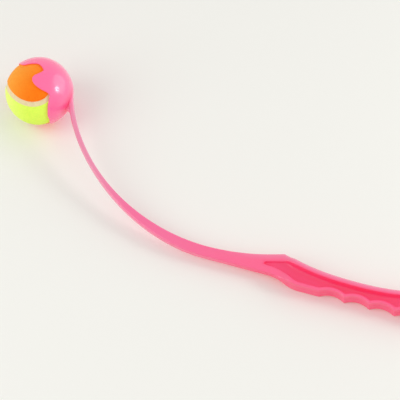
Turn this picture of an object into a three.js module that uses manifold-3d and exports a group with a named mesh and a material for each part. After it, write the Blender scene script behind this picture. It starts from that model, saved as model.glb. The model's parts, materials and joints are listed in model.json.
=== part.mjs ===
// A hand-held ball launcher with its two-colour ball, lying on its side.
//
// The launcher is one plastic moulding: a clawed cup at one end, a curved arm that grows thicker
// and taller, and a handle with finger grooves and a deep pocket in each side.
// The ball is a hollow rubber core in two halves, two felt panels and the cement seam between them.
//
// Everything is in millimetres, +Z up. The moulding is built in its swing plane: X runs from the
// ball towards the handle's end, Y towards the back of the arm, Z across the arm, and the middle
// of the ball is the origin. The last section lays the whole thing on the ground.

import * as THREE from 'three';
import { mergeVertices } from 'three/addons/utils/BufferGeometryUtils.js';
import { ConvexHull } from 'three/addons/math/ConvexHull.js';
import Module from 'manifold-3d';

const wasm = await Module();
wasm.setup();

const DEGREE = Math.PI / 180;

// Ball
const ballRadius = 32.5;
const feltThickness = 2.9;
const coreWall = 3.3;
const seamWidth = 5;
const seamRecess = 0.6;
const assemblyGap = 0.3;
const seamWaveShare = 0.25;
const ballTurn = [-123.2 * DEGREE, -65.9 * DEGREE, -84.9 * DEGREE];

// Cup
const cupClearance = 0.6;
const cupWall = 2;
const mouthAngle = -119 * DEGREE;
const clawNotchAngle = 20 * DEGREE;
const gateMarkRadius = 3.3;
const gateMarkDepth = 0.7;
const gateMarkTurn = 132 * DEGREE;
const gateMarkSetback = 23 * DEGREE;

// Arm
const armThickness = 4.9;
const armHeight = 8;
const armEdgeRadius = 1.8;
const armBackSet = 0.4;
const armStartAngle = -55.4 * DEGREE;
const armStartReach = 74.4;
const armEndReach = 78.7;
const armTaperStartShare = 0.334;
const gussetThickness = 5.4;
const gussetEndShare = 0.125;
const gussetFootAngle = 20 * DEGREE;

// Handle
const handleCornerX = 316.5;
const handleCornerY = -42.7;
const handleAngle = 16.6 * DEGREE;
const handleHeight = 17;
const handleEdgeRadius = 1.2;
const growthSetback = 7.4;
const growthLength = 13.1;
const neckLength = 79.3;
const neckWidth = 10.6;
const neckRise = 6;
const riseSetback = 18;
const riseLength = 32;
const shoulderSetback = 7.7;
const shoulderWidth = 28.7;
const shoulderPower = 1.9;
const gripStart = 34;
const gripPitch = 23.9;
const gripDepth = 3.8;
const gripCount = 4;
const waistWidth = 18.3;
const waistPlace = 69.4;
const backRadius = 241;
const tailLength = 16;
const tailRoundLength = 12;
const tailRoundPower = 2.6;
const tailTipShare = 0.0025;

// Pockets in the handle's sides
const rimWall = 2.6;
const backRim = 5;
const foreRim = 7;
const pocketWeb = 2.6;
const pocketTipSetback = 24;
const pocketTipWidth = 2.6;
const pocketShoulderSetback = 2.6;
const narrowingSetback = 8;
const narrowingLength = 22;
const tailPad = 11;

// Densities of the moulding and of the ball as a whole, in grams per cubic centimetre
const plasticDensity = 0.95;
const ballDensity = 0.40;

// How squarely a face of the convex hull looks down when the launcher lies on it, rather than stands
const lyingShare = 0.5;

// How far cutters overrun and how finely the surfaces are divided
const cutOverrun = 4;
const armStations = 26;
const edgeStep = 4;
const growthStep = 2;
const neckStep = 6;
const grooveSteps = 8;
const tailRoundSteps = 7;
const cornerSteps = 2;
const cornerShare = 0.8;
const cupSegments = 44;
const cupRings = 26;
const clawSamples = 84;
const domeRings = 5;
const gussetSteps = 6;
const gateMarkSegments = 48;
const seamSamples = 88;
const panelRows = 32;
const panelColumns = 8;
const coreSegments = 24;
const coreRings = 7;

const cupInner = ballRadius + cupClearance;
const cupOuter = cupInner + cupWall;
const coreOuter = ballRadius - feltThickness - assemblyGap;
const coreInner = coreOuter - coreWall;

const mix = (a, b, share) => a + (b - a) * share;
const smooth = (share) => THREE.MathUtils.smoothstep(share, 0, 1);

// Solids
function toSolid(geometry) {
  const bare = geometry.clone();
  bare.deleteAttribute('normal');
  bare.deleteAttribute('uv');
  const merged = mergeVertices(bare);
  const mesh = new wasm.Mesh({
    numProp: 3,
    vertProperties: new Float32Array(merged.attributes.position.array),
    triVerts: new Uint32Array(merged.index.array),
  });
  return new wasm.Manifold(mesh);
}

function toGeometry(solid) {
  const mesh = solid.getMesh();
  const geometry = new THREE.BufferGeometry();
  geometry.setAttribute('position', new THREE.BufferAttribute(new Float32Array(mesh.vertProperties), 3));
  geometry.setIndex(new THREE.BufferAttribute(new Uint32Array(mesh.triVerts), 1));
  geometry.computeVertexNormals();
  return geometry;
}

function pointsOf({ attributes: { position } }) {
  const point = (_, i) => new THREE.Vector3().fromBufferAttribute(position, i);
  return Array.from({ length: position.count }, point);
}

// Volume of a closed mesh and the middle of that volume, from the tetrahedra under its faces
function volumeAndMiddle(geometry) {
  const points = pointsOf(geometry);
  const index = geometry.index.array;
  const middle = new THREE.Vector3();
  let volume = 0;
  for (let i = 0; i < index.length; i += 3) {
    const corners = [points[index[i]], points[index[i + 1]], points[index[i + 2]]];
    const share = corners[0].dot(corners[1].clone().cross(corners[2])) / 6;
    corners.forEach((corner) => middle.addScaledVector(corner, share / 4));
    volume += share;
  }
  return { volume, middle: middle.divideScalar(volume) };
}

// A closed mesh from points and faces, turned so that it faces out
function closedMesh(points, faces) {
  const geometry = new THREE.BufferGeometry().setFromPoints(points);
  geometry.setIndex(faces);
  const merged = mergeVertices(geometry);
  const index = Array.from(merged.index.array);
  const kept = [];
  for (let i = 0; i < index.length; i += 3) {
    const [a, b, c] = index.slice(i, i + 3);
    if (a !== b && b !== c && c !== a) kept.push(a, b, c);
  }
  merged.setIndex(kept);
  if (volumeAndMiddle(merged).volume < 0) merged.setIndex(kept.reverse());
  merged.computeVertexNormals();
  return merged;
}

// A closed skin through rings of equal count, each end closed with a fan
function loft(rings) {
  const count = rings[0].length;
  const points = rings.flat();
  const faces = [];
  for (let r = 0; r + 1 < rings.length; r++) {
    for (let i = 0; i < count; i++) {
      const j = (i + 1) % count;
      const [p, q] = [r * count + i, r * count + j];
      faces.push(p, q, q + count, p, q + count, p + count);
    }
  }
  for (const [ring, flip] of [[0, true], [rings.length - 1, false]]) {
    const middle = new THREE.Vector3();
    rings[ring].forEach((point) => middle.addScaledVector(point, 1 / count));
    points.push(middle);
    for (let i = 0; i < count; i++) {
      const [p, q] = [ring * count + i, ring * count + (i + 1) % count];
      faces.push(points.length - 1, flip ? q : p, flip ? p : q);
    }
  }
  return closedMesh(points, faces);
}

// Handle outline, in its own directions: u along the handle from its front corner, v towards its back
const gripEnd = gripStart + gripPitch * gripCount;
const tailEnd = gripEnd + tailLength;
const growthEnd = growthLength - growthSetback;
const gripRadius = gripPitch ** 2 / (8 * gripDepth) + gripDepth / 2;

function handlePoint(u, v) {
  const [c, s] = [Math.cos(handleAngle), Math.sin(handleAngle)];
  return new THREE.Vector2(handleCornerX + u * c - v * s, handleCornerY + u * s + v * c);
}

function waistArc(u, inset) {
  return waistWidth + backRadius - Math.sqrt((backRadius + inset) ** 2 - (u - waistPlace) ** 2);
}

const shoulderDrop = waistArc(-shoulderSetback, 0) - shoulderWidth;

// Back: a concave arc down to the waist and up to the tail, and a sweep from the neck to the shoulder
function backEdge(u, inset) {
  if (u > -shoulderSetback) return waistArc(u, inset) - shoulderDrop * smooth((waistPlace - u) / waistPlace);
  const share = (u + neckLength) / (neckLength - shoulderSetback);
  return mix(neckRise + neckWidth, shoulderWidth, share ** shoulderPower);
}

// Finger side: a rise out of the neck, a flat fore grip, then the scallops between sharp cusps
function fingerEdge(u, inset) {
  if (u > gripStart && u < gripEnd) {
    const middle = gripStart + gripPitch * (Math.floor((u - gripStart) / gripPitch) + 0.5);
    return gripDepth - gripRadius + Math.sqrt((gripRadius + inset) ** 2 - (u - middle) ** 2);
  }
  const cusp = Math.sqrt((gripRadius + inset) ** 2 - (gripPitch / 2) ** 2) + gripDepth - gripRadius;
  return cusp + neckRise * (1 - smooth((u + riseSetback) / riseLength));
}

// How much of its width the tail keeps at a place along its rounding
function tailRoundShare(u) {
  const along = Math.max(0, (u - tailEnd + tailRoundLength) / tailRoundLength);
  return (1 - Math.min(1, along) ** tailRoundPower) ** (1 / tailRoundPower);
}

// Ring round a section of the arm or handle, a rectangle with rounded corners, from its two edges
// in the swing plane, its height and its edge radius
function ringOf({ back, finger, height, edgeRadius }) {
  const across = back.clone().sub(finger);
  const halfWidth = across.length() / 2;
  const middle = back.clone().add(finger).divideScalar(2);
  const radius = Math.min(edgeRadius, cornerShare * halfWidth, cornerShare * height / 2);
  across.normalize();
  const ring = [];
  for (let quarter = 0; quarter < 4; quarter++) {
    const side = quarter === 0 || quarter === 3 ? 1 : -1;
    const up = quarter < 2 ? 1 : -1;
    for (let step = 0; step <= cornerSteps; step++) {
      const angle = (quarter + step / cornerSteps) * Math.PI / 2;
      const p = side * (halfWidth - radius) + radius * Math.cos(angle);
      const q = up * (height / 2 - radius) + radius * Math.sin(angle);
      ring.push(new THREE.Vector3(middle.x + p * across.x, middle.y + p * across.y, q));
    }
  }
  return ring;
}

// Arm centreline, from the back of the cup to the neck of the handle
function armCurve() {
  const outward = new THREE.Vector2(-Math.sin(armStartAngle), Math.cos(armStartAngle));
  const along = new THREE.Vector2(Math.cos(armStartAngle), Math.sin(armStartAngle));
  const start = outward.multiplyScalar(cupOuter - armBackSet - armThickness / 2);
  const end = handlePoint(-neckLength, neckRise + neckWidth / 2);
  const back = new THREE.Vector2(Math.cos(handleAngle), Math.sin(handleAngle));
  return new THREE.CubicBezierCurve(
    start,
    start.clone().addScaledVector(along, armStartReach),
    end.clone().addScaledVector(back, -armEndReach),
    end,
  );
}

const arm = armCurve();

function armSection(share) {
  const middle = arm.getPoint(share);
  const along = arm.getTangent(share);
  const outward = new THREE.Vector2(-along.y, along.x);
  const taper = smooth((share - armTaperStartShare) / (1 - armTaperStartShare));
  const half = mix(armThickness, neckWidth, taper) / 2;
  return {
    back: middle.clone().addScaledVector(outward, half),
    finger: middle.clone().addScaledVector(outward, -half),
    height: armHeight,
    edgeRadius: mix(armEdgeRadius, handleEdgeRadius, taper),
  };
}

function handleHeightAt(u) {
  return mix(armHeight, handleHeight, smooth((u + growthSetback) / growthLength));
}

function handleSection(u) {
  const [v0, v1] = [fingerEdge(u, 0), backEdge(u, 0)];
  const [middle, half] = [(v0 + v1) / 2, (v1 - v0) / 2 * tailRoundShare(u)];
  return {
    back: handlePoint(u, middle + half),
    finger: handlePoint(u, middle - half),
    height: handleHeightAt(u),
    edgeRadius: handleEdgeRadius,
  };
}

// Places along the handle where its outline is sampled, with every corner of it among them
function stations(from, to, step) {
  const count = Math.max(1, Math.ceil((to - from) / step));
  return Array.from({ length: count }, (_, i) => mix(from, to, i / count));
}

function gripStations() {
  const count = gripCount * grooveSteps;
  return Array.from({ length: count }, (_, i) => mix(gripStart, gripEnd, i / count));
}

function tailStations() {
  const roundStart = tailEnd - tailRoundLength;
  const shares = Array.from({ length: tailRoundSteps }, (_, i) => Math.sin(Math.PI / 2 * i / tailRoundSteps));
  return [
    ...stations(gripEnd, roundStart, edgeStep),
    ...[...shares, 1 - tailTipShare].map((share) => mix(roundStart, tailEnd, share)),
  ];
}

// The arm and the handle in one skin, from inside the cup's wall to the tail
function beamGeometry() {
  const along = [
    ...stations(-neckLength, -shoulderSetback, neckStep).slice(1),
    ...stations(-shoulderSetback, growthEnd, growthStep),
    ...stations(growthEnd, gripStart, edgeStep),
    ...gripStations(),
    ...tailStations(),
  ];
  const sections = [
    ...Array.from({ length: armStations + 1 }, (_, i) => armSection(i / armStations)),
    ...along.map(handleSection),
  ];
  return loft(sections.map(ringOf));
}

// A pocket's wall on the finger side, thicker beside the fore grip than along the grooves
function fingerWall(u) {
  const narrowing = smooth((u + narrowingSetback) / narrowingLength);
  return fingerEdge(u, rimWall) + (foreRim - rimWall) * (1 - narrowing);
}

// Pocket outline: a blunt tip towards the arm, then a wall along each edge of the handle
function pocketShape() {
  const end = tailEnd - tailPad;
  const inner = [
    ...stations(-pocketShoulderSetback, gripStart, edgeStep),
    ...gripStations(),
    ...stations(gripEnd, end, edgeStep),
    end,
  ];
  const fore = stations(-pocketTipSetback, -pocketShoulderSetback, edgeStep);
  const tip = handlePoint(-pocketTipSetback, fingerWall(-pocketTipSetback) + pocketTipWidth);
  const finger = [...fore, ...inner].map((u) => handlePoint(u, fingerWall(u)));
  const back = inner.map((u) => handlePoint(u, backEdge(u, backRim)));
  return new THREE.Shape([tip, ...finger, ...back.reverse()]);
}

function pocketGeometry(side) {
  const depth = (handleHeight - pocketWeb) / 2 + cutOverrun;
  const geometry = new THREE.ExtrudeGeometry(pocketShape(), { depth, bevelEnabled: false });
  geometry.translate(0, 0, side > 0 ? pocketWeb / 2 : -pocketWeb / 2 - depth);
  return geometry;
}

// Cup directions: the mouth's axis, the arm's far side across it, and the moulding's own Z
const mouthAxis = new THREE.Vector3(Math.cos(mouthAngle), Math.sin(mouthAngle), 0);
const farSide = new THREE.Vector3(mouthAxis.y, -mouthAxis.x, 0);
const acrossArm = new THREE.Vector3(0, 0, 1);

// A point of a sphere round the ball: turn is counted from the far side, polar from the mouth's axis
function cupPoint(turn, polar, radius) {
  return mouthAxis.clone().multiplyScalar(Math.cos(polar))
    .addScaledVector(farSide, Math.sin(polar) * Math.cos(turn))
    .addScaledVector(acrossArm, Math.sin(polar) * Math.sin(turn))
    .multiplyScalar(radius);
}

// Rim of the claws over half a turn, from the far side to the arm's side. Each pair is a share of
// the half turn and how far the edge passes the ball's middle, as a share of the notch angle.
const clawEdgeShares = [
  [0, 0.43], [0.1, 0.43], [0.2, 0.43], [0.27, 0.38], [0.315, 0.2], [0.336, -0.15], [0.358, -0.55],
  [0.385, -0.9], [0.44, -1.02], [0.482, -0.98], [0.496, -0.75], [0.5, -0.4], [0.503, -0.05],
  [0.52, 0.2], [0.555, 0.29], [0.6, 0.21], [0.65, -0.03], [0.7, -0.37], [0.735, -0.47],
  [0.765, -0.3], [0.81, -0.03], [0.87, 0.19], [0.93, 0.33], [1, 0.16],
];

function clawEdge() {
  const knots = clawEdgeShares.map(([turn, reach]) => new THREE.Vector2(turn, reach));
  const before = new THREE.Vector2(-knots[1].x, knots[1].y);
  const after = new THREE.Vector2(2 - knots.at(-2).x, knots.at(-2).y);
  const curve = new THREE.SplineCurve([before, ...knots, after]);
  const spans = knots.length + 1;
  const half = Array.from({ length: clawSamples + 1 }, (_, i) => {
    const knot = curve.getPoint((1 + (knots.length - 1) * i / clawSamples) / spans);
    return { turn: knot.x * Math.PI, polar: Math.PI / 2 - knot.y * clawNotchAngle };
  });
  const mirrored = half.slice(1, -1).reverse().map(({ turn, polar }) => ({ turn: -turn, polar }));
  return [...half, ...mirrored];
}

// The space in front of the claws: a cone from the ball's middle, closed by a dome outside the cup
function mouthGeometry() {
  const edge = clawEdge();
  const radius = cupOuter + cutOverrun;
  const points = [new THREE.Vector3()];
  const faces = [];
  for (let ring = domeRings; ring > 0; ring--) {
    edge.forEach(({ turn, polar }) => points.push(cupPoint(turn, polar * ring / domeRings, radius)));
  }
  points.push(cupPoint(0, 0, radius));
  edge.forEach((_, i) => {
    const j = (i + 1) % edge.length;
    faces.push(0, 1 + j, 1 + i);
    for (let ring = 0; ring + 1 < domeRings; ring++) {
      const [p, q] = [1 + ring * edge.length + i, 1 + ring * edge.length + j];
      faces.push(p, q, q + edge.length, p, q + edge.length, p + edge.length);
    }
    const last = 1 + (domeRings - 1) * edge.length;
    faces.push(last + i, last + j, points.length - 1);
  });
  return closedMesh(points, faces);
}

function cupSphere(radius) {
  const geometry = new THREE.SphereGeometry(radius, cupSegments, cupRings);
  const turn = new THREE.Quaternion().setFromUnitVectors(new THREE.Vector3(0, 1, 0), mouthAxis);
  return geometry.applyQuaternion(turn);
}

// A shallow dish in the cup's side, where the plastic was let into the mould
function gateMarkGeometry() {
  const bite = (gateMarkRadius ** 2 + gateMarkDepth ** 2) / (2 * gateMarkDepth);
  const centre = cupPoint(gateMarkTurn, Math.PI / 2 + gateMarkSetback, cupOuter - gateMarkDepth + bite);
  const geometry = new THREE.SphereGeometry(bite, gateMarkSegments, gateMarkSegments / 2);
  return geometry.translate(centre.x, centre.y, centre.z);
}

// Thin web in the swing plane that fills the corner between the arm and the cup. Its inner side
// runs inside the cup, where the hollow cuts it back to the wall.
function gussetGeometry() {
  const inside = arm.v0.length() - armThickness / 2;
  const first = mouthAngle + Math.PI / 2 + gussetFootAngle;
  const last = Math.atan2(arm.v0.y, arm.v0.x);
  const shares = Array.from({ length: gussetSteps + 1 }, (_, i) => i / gussetSteps);
  const armSide = shares.map((share) => arm.getPoint(gussetEndShare * share));
  const cupSide = shares.map((share) => {
    const angle = mix(first, last, share);
    return new THREE.Vector2(Math.cos(angle), Math.sin(angle)).multiplyScalar(inside);
  });
  const shape = new THREE.Shape([...armSide, ...cupSide]);
  const geometry = new THREE.ExtrudeGeometry(shape, { depth: gussetThickness, bevelEnabled: false });
  return geometry.translate(0, 0, -gussetThickness / 2);
}

function launcherGeometry() {
  const joined = toSolid(cupSphere(cupOuter))
    .add(toSolid(beamGeometry()))
    .add(toSolid(gussetGeometry()));
  const hollowed = joined
    .subtract(toSolid(cupSphere(cupInner)))
    .subtract(toSolid(mouthGeometry()))
    .subtract(toSolid(gateMarkGeometry()));
  const pocketed = hollowed
    .subtract(toSolid(pocketGeometry(1)))
    .subtract(toSolid(pocketGeometry(-1)));
  return toGeometry(pocketed);
}

// Ball seam: a wave round the unit sphere that parts two like panels
function seamPoint(t) {
  const [a, b] = [1 - seamWaveShare, seamWaveShare];
  return new THREE.Vector3(
    a * Math.cos(t) + b * Math.cos(3 * t),
    a * Math.sin(t) - b * Math.sin(3 * t),
    2 * Math.sqrt(a * b) * Math.sin(2 * t),
  );
}

// The seam moved sideways over the sphere by an arc, towards the panel over the pole if it is positive
function besideSeam(t, arc) {
  const step = 1e-4;
  const along = seamPoint(t + step).sub(seamPoint(t - step));
  const point = seamPoint(t);
  const across = point.clone().cross(along).normalize();
  return point.multiplyScalar(Math.cos(arc)).addScaledVector(across, Math.sin(arc));
}

function betweenDirections(from, to, share) {
  const turn = new THREE.Quaternion().setFromUnitVectors(from, to);
  return from.clone().applyQuaternion(new THREE.Quaternion().slerp(turn, share));
}

// A felt panel: arcs across it join each point of its edge to the mirrored point
function panelGeometry() {
  const arc = seamWidth / 2 / ballRadius;
  const [inner, outer] = [ballRadius - feltThickness, ballRadius];
  const width = panelColumns + 1;
  const layer = (panelRows + 1) * width;
  const directions = [];
  for (let row = 0; row <= panelRows; row++) {
    const t = mix(-Math.PI / 4, 3 * Math.PI / 4, row / panelRows);
    const [from, to] = [besideSeam(t, arc), besideSeam(3 * Math.PI / 2 - t, arc)];
    for (let column = 0; column <= panelColumns; column++) {
      directions.push(betweenDirections(from, to, column / panelColumns));
    }
  }
  const points = [
    ...directions.map((point) => point.clone().multiplyScalar(outer)),
    ...directions.map((point) => point.clone().multiplyScalar(inner)),
  ];
  const faces = [];
  for (let row = 0; row < panelRows; row++) {
    for (let column = 0; column < panelColumns; column++) {
      const p = row * width + column;
      faces.push(p, p + 1, p + 1 + width, p, p + 1 + width, p + width);
      faces.push(layer + p, layer + p + 1 + width, layer + p + 1);
      faces.push(layer + p, layer + p + width, layer + p + 1 + width);
    }
    const near = [row * width, (row + 1) * width];
    const far = [(row + 2) * width - 1, (row + 1) * width - 1];
    for (const [p, q] of [near, far]) faces.push(p, q, layer + q, p, layer + q, layer + p);
  }
  return closedMesh(points, faces);
}

function seamGeometry() {
  const arc = (seamWidth / 2 - assemblyGap) / ballRadius;
  const [inner, outer] = [ballRadius - feltThickness, ballRadius - seamRecess];
  const points = [];
  const faces = [];
  for (let i = 0; i < seamSamples; i++) {
    const t = 2 * Math.PI * i / seamSamples;
    const [left, right] = [besideSeam(t, -arc), besideSeam(t, arc)];
    points.push(left.clone().multiplyScalar(outer), right.clone().multiplyScalar(outer));
    points.push(right.clone().multiplyScalar(inner), left.clone().multiplyScalar(inner));
    const next = 4 * ((i + 1) % seamSamples);
    for (let side = 0; side < 4; side++) {
      const [p, q] = [4 * i + side, 4 * i + (side + 1) % 4];
      const [r, s] = [next + side, next + (side + 1) % 4];
      faces.push(p, q, s, p, s, r);
    }
  }
  return closedMesh(points, faces);
}

// Half of the hollow core, a bowl whose flat lip lies just off the plane where the halves meet
function coreHalfGeometry() {
  const lip = assemblyGap / 2;
  const profile = [];
  for (const [radius, flip] of [[coreOuter, false], [coreInner, true]]) {
    const lipAngle = Math.acos(lip / radius);
    const steps = Array.from({ length: coreRings + 1 }, (_, i) => lipAngle * i / coreRings);
    const arc = steps.map((angle) => new THREE.Vector2(radius * Math.sin(angle), radius * Math.cos(angle)));
    arc[0].x = 0;
    profile.push(...(flip ? arc.reverse() : arc));
  }
  const geometry = new THREE.LatheGeometry(profile, coreSegments);
  geometry.rotateX(Math.PI / 2);
  return closedMesh(pointsOf(geometry), Array.from(geometry.index.array));
}

// Materials
const pinkPlastic = () => new THREE.MeshStandardMaterial({ color: 0xfa6e9b, roughness: 0.38, metalness: 0 });
const orangeFelt = () => new THREE.MeshStandardMaterial({ color: 0xfb8c28, roughness: 0.95, metalness: 0 });
const yellowFelt = () => new THREE.MeshStandardMaterial({ color: 0xe2ff66, roughness: 0.95, metalness: 0 });
const creamCement = () => new THREE.MeshStandardMaterial({ color: 0xf0d8c0, roughness: 0.7, metalness: 0 });
const greyRubber = () => new THREE.MeshStandardMaterial({ color: 0x55524e, roughness: 0.8, metalness: 0 });

function piece(name, geometry, material, turnedOver = false) {
  const mesh = new THREE.Mesh(geometry, material);
  mesh.name = name;
  if (turnedOver) mesh.rotation.x = Math.PI;
  return mesh;
}

const moulding = piece('launcher_moulding', launcherGeometry(), pinkPlastic());

const ball = new THREE.Group();
ball.rotation.set(...ballTurn);
ball.add(
  piece('ball_core_half_a', coreHalfGeometry(), greyRubber()),
  piece('ball_core_half_b', coreHalfGeometry(), greyRubber(), true),
  piece('ball_felt_orange', panelGeometry(), orangeFelt()),
  piece('ball_felt_yellow', panelGeometry(), yellowFelt(), true),
  piece('ball_seam', seamGeometry(), creamCement()),
);

// Laying the launcher down: it rests on the face of its convex hull that its weight falls inside
function centreOfMass(geometry) {
  const { volume, middle } = volumeAndMiddle(geometry);
  const mass = volume * plasticDensity;
  const ballMass = 4 / 3 * Math.PI * ballRadius ** 3 * ballDensity;
  return middle.multiplyScalar(mass / (mass + ballMass));
}

function restingDirection(geometry) {
  const weight = centreOfMass(geometry);
  const hull = new ConvexHull().setFromPoints(pointsOf(geometry));
  const below = hull.faces.filter((face) => face.normal.z < -lyingShare);
  const holds = (face) => {
    const foot = weight.clone().addScaledVector(face.normal, -face.distanceToPoint(weight));
    let edge = face.edge;
    let inside = Infinity;
    do {
      const along = edge.head().point.clone().sub(edge.tail().point).normalize();
      const inward = face.normal.clone().cross(along);
      inside = Math.min(inside, foot.clone().sub(edge.tail().point).dot(inward));
      edge = edge.next;
    } while (edge !== face.edge);
    return inside;
  };
  const best = below.reduce((kept, face) => (holds(face) > holds(kept) ? face : kept));
  return best.normal.clone().negate();
}

const up = restingDirection(moulding.geometry);
const tail = handlePoint(tailEnd, backEdge(tailEnd, 0) / 2);
const forward = new THREE.Vector3(tail.x, tail.y, 0);
forward.addScaledVector(up, -forward.dot(up)).normalize();
const leftward = up.clone().cross(forward);

const laid = new THREE.Group();
laid.add(moulding, ball);
laid.quaternion.setFromRotationMatrix(new THREE.Matrix4().makeBasis(forward, leftward, up).transpose());
const ballLauncher = new THREE.Group();
ballLauncher.add(laid);

const extent = new THREE.Box3().setFromObject(ballLauncher, true);
const footing = extent.getCenter(new THREE.Vector3());
footing.z = extent.min.z;
laid.position.copy(footing).negate();
ballLauncher.updateMatrixWorld(true);

export default ballLauncher;
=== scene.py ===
"""A hand-held ball launcher lying on its side, with a two-colour felt ball in its clawed cup.

The launcher is one plastic moulding. Its fine surface is modelled here from the same sizes as the
construction solids. The ball is a rubber core under two felt panels and a cement seam.
Lengths are in metres. The moulding is modelled in its swing plane: X runs from the ball towards
the handle's end, Y towards the back of the arm and Z across it, and the ball's middle is the origin.
"""

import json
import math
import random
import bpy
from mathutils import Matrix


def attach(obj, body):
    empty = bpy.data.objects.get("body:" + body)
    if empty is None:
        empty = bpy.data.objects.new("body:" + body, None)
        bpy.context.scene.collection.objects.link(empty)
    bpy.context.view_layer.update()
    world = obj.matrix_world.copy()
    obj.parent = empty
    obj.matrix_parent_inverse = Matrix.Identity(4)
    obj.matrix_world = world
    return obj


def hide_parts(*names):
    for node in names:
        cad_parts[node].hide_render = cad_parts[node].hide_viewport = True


bl_info = {
    "name": "Ball Launcher",
    "version": (1, 0, 0),
    "blender": (4, 5, 0),
    "location": "View3D > Sidebar > Ball Launcher",
    "description": "Models and finishes a moulded ball launcher and its felt ball",
    "category": "Object",
}

import bmesh
import bpy
from bpy.props import FloatProperty, FloatVectorProperty, IntProperty, PointerProperty
from mathutils import Matrix, Vector, noise

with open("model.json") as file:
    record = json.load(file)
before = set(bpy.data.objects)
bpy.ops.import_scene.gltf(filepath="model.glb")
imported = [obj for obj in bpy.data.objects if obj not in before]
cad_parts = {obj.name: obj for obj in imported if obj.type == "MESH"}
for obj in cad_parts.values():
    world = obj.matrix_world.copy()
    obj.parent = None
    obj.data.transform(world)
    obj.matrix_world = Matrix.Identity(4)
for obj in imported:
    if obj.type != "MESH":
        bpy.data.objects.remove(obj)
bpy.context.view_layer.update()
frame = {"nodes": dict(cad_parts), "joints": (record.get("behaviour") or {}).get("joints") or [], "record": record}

MM = 0.001
TOUCH = 1e-7  # places closer than this are one place
TOUCH_DIGITS = 7
FULL_TURN = 2 * math.pi


def length(name, description, millimetres):
    """A size that a user may change."""
    default = millimetres * MM
    return FloatProperty(name=name, description=description, default=default, unit="LENGTH", precision=5)


def angle(name, description, degrees):
    """An angle that a user may change."""
    default = math.radians(degrees)
    return FloatProperty(
        name=name, description=description, default=default, unit="ROTATION", subtype="ANGLE")


def share(name, description, value):
    """A plain ratio that a user may change."""
    return FloatProperty(name=name, description=description, default=value, subtype="FACTOR", soft_max=1)


def count(name, description, value):
    """A number of copies or divisions."""
    return IntProperty(name=name, description=description, default=value, min=1)


def linear(value):
    """The linear value of one channel of a display colour from 0 to 255."""
    level = value / 255
    return level / 12.92 if level <= 0.04045 else ((level + 0.055) / 1.055) ** 2.4


def colour(name, description, red, green, blue):
    """A colour that a user may change, given as it looks on a display."""
    default = tuple(linear(value) for value in (red, green, blue))
    return FloatVectorProperty(
        name=name, description=description, default=default, subtype="COLOR", min=0, max=1)


class BallSizes(bpy.types.PropertyGroup):
    """Sizes of the ball."""

    radius: length("Radius", "Outside of the felt", 32.5)
    felt: length("Felt", "Thickness of a felt panel", 2.9)
    felt_edge: length("Felt edge", "Rounding of a panel's edge beside the seam", 1.1)
    felt_lump: length("Felt lumps", "Height of the soft lumps in the felt", 0.22)
    seam_width: length("Seam width", "Gap between the felt panels", 5)
    seam_recess: length("Seam recess", "Depth of the seam's middle below the felt", 0.75)
    seam_lip: length("Seam lip", "How far the cement climbs the edge of the felt", 0.4)
    seam_overlap: length("Seam overlap", "How far the cement reaches under the felt's edge", 0.15)
    seam_wave: share("Seam wave", "How strongly the seam swings over the ball", 0.25)
    turn: FloatVectorProperty(
        name="Turn",
        description="How the ball is turned in the launcher's swing plane",
        default=(math.radians(-123.2), math.radians(-65.9), math.radians(-84.9)),
        subtype="EULER",
    )
    fibres: count("Fibres", "Loose fibres on each felt panel", 2600)
    fibre_length: length("Fibre length", "Longest loose fibre", 1.3)
    fibre_radius: length("Fibre radius", "Radius at a fibre's root", 0.045)


class CupSizes(bpy.types.PropertyGroup):
    """Sizes of the clawed cup."""

    clearance: length("Clearance", "Gap between the ball and the cup", 0.6)
    wall: length("Wall", "Thickness of the cup", 2)
    rim_taper: length("Rim taper", "How much thinner the wall is at the claws' edge", 0.9)
    rim_radius: length("Rim radius", "Rounding of the claws' edges", 0.45)
    mouth_angle: angle("Mouth angle", "Direction of the mouth in the swing plane", -119)
    notch_angle: angle("Notch angle", "Unit of the claws' reach past the ball's middle", 20)
    mark_radius: length("Gate mark radius", "Radius of the dish at the moulding gate", 3.3)
    mark_depth: length("Gate mark depth", "Depth of the dish at the moulding gate", 0.5)
    mark_turn: angle("Gate mark turn", "Place of the dish round the cup", 132)
    mark_setback: angle("Gate mark setback", "Place of the dish behind the ball's middle", 23)


class ArmSizes(bpy.types.PropertyGroup):
    """Sizes of the arm."""

    thickness: length("Thickness", "Thickness in the swing plane beside the cup", 4.9)
    height: length("Height", "Height across the swing plane", 8)
    edge_radius: length("Edge radius", "Rounding of the long edges beside the cup", 1.8)
    back_set: length("Back set", "How deep the arm starts in the cup's wall", 0.4)
    start_angle: angle("Start angle", "Direction in which the arm leaves the cup", -55.4)
    start_reach: length("Start reach", "How far the arm keeps that direction", 74.4)
    end_reach: length("End reach", "How far the arm comes in along the handle's direction", 78.7)
    taper_start: share("Taper start", "Where along the arm it starts to grow thicker", 0.334)
    flare: length("Flare", "How far the arm widens where it meets the cup", 1.6)
    flare_height: length("Flare height", "Height over the cup at which that starts", 3.2)
    web: length("Web", "Thickness of the web in the corner of cup and arm", 5.4)
    web_edge: length("Web edge", "Rounding of the web's free edge", 1)
    web_end: share("Web end", "Where along the arm the web ends", 0.117)
    web_foot_angle: angle("Web foot angle", "Where on the cup the web ends", 25)
    web_hollow: length("Web hollow", "How far the web's free edge is drawn in", 0.8)
    # Painted shade in the corner of the web and the cup
    web_painted_shade: share("Web deep", "How strongly the deeper colour shows in the corner of web and cup", 0.7)
    web_shade: length("Web shade", "How far light that bounces in that corner reaches", 13)


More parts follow.
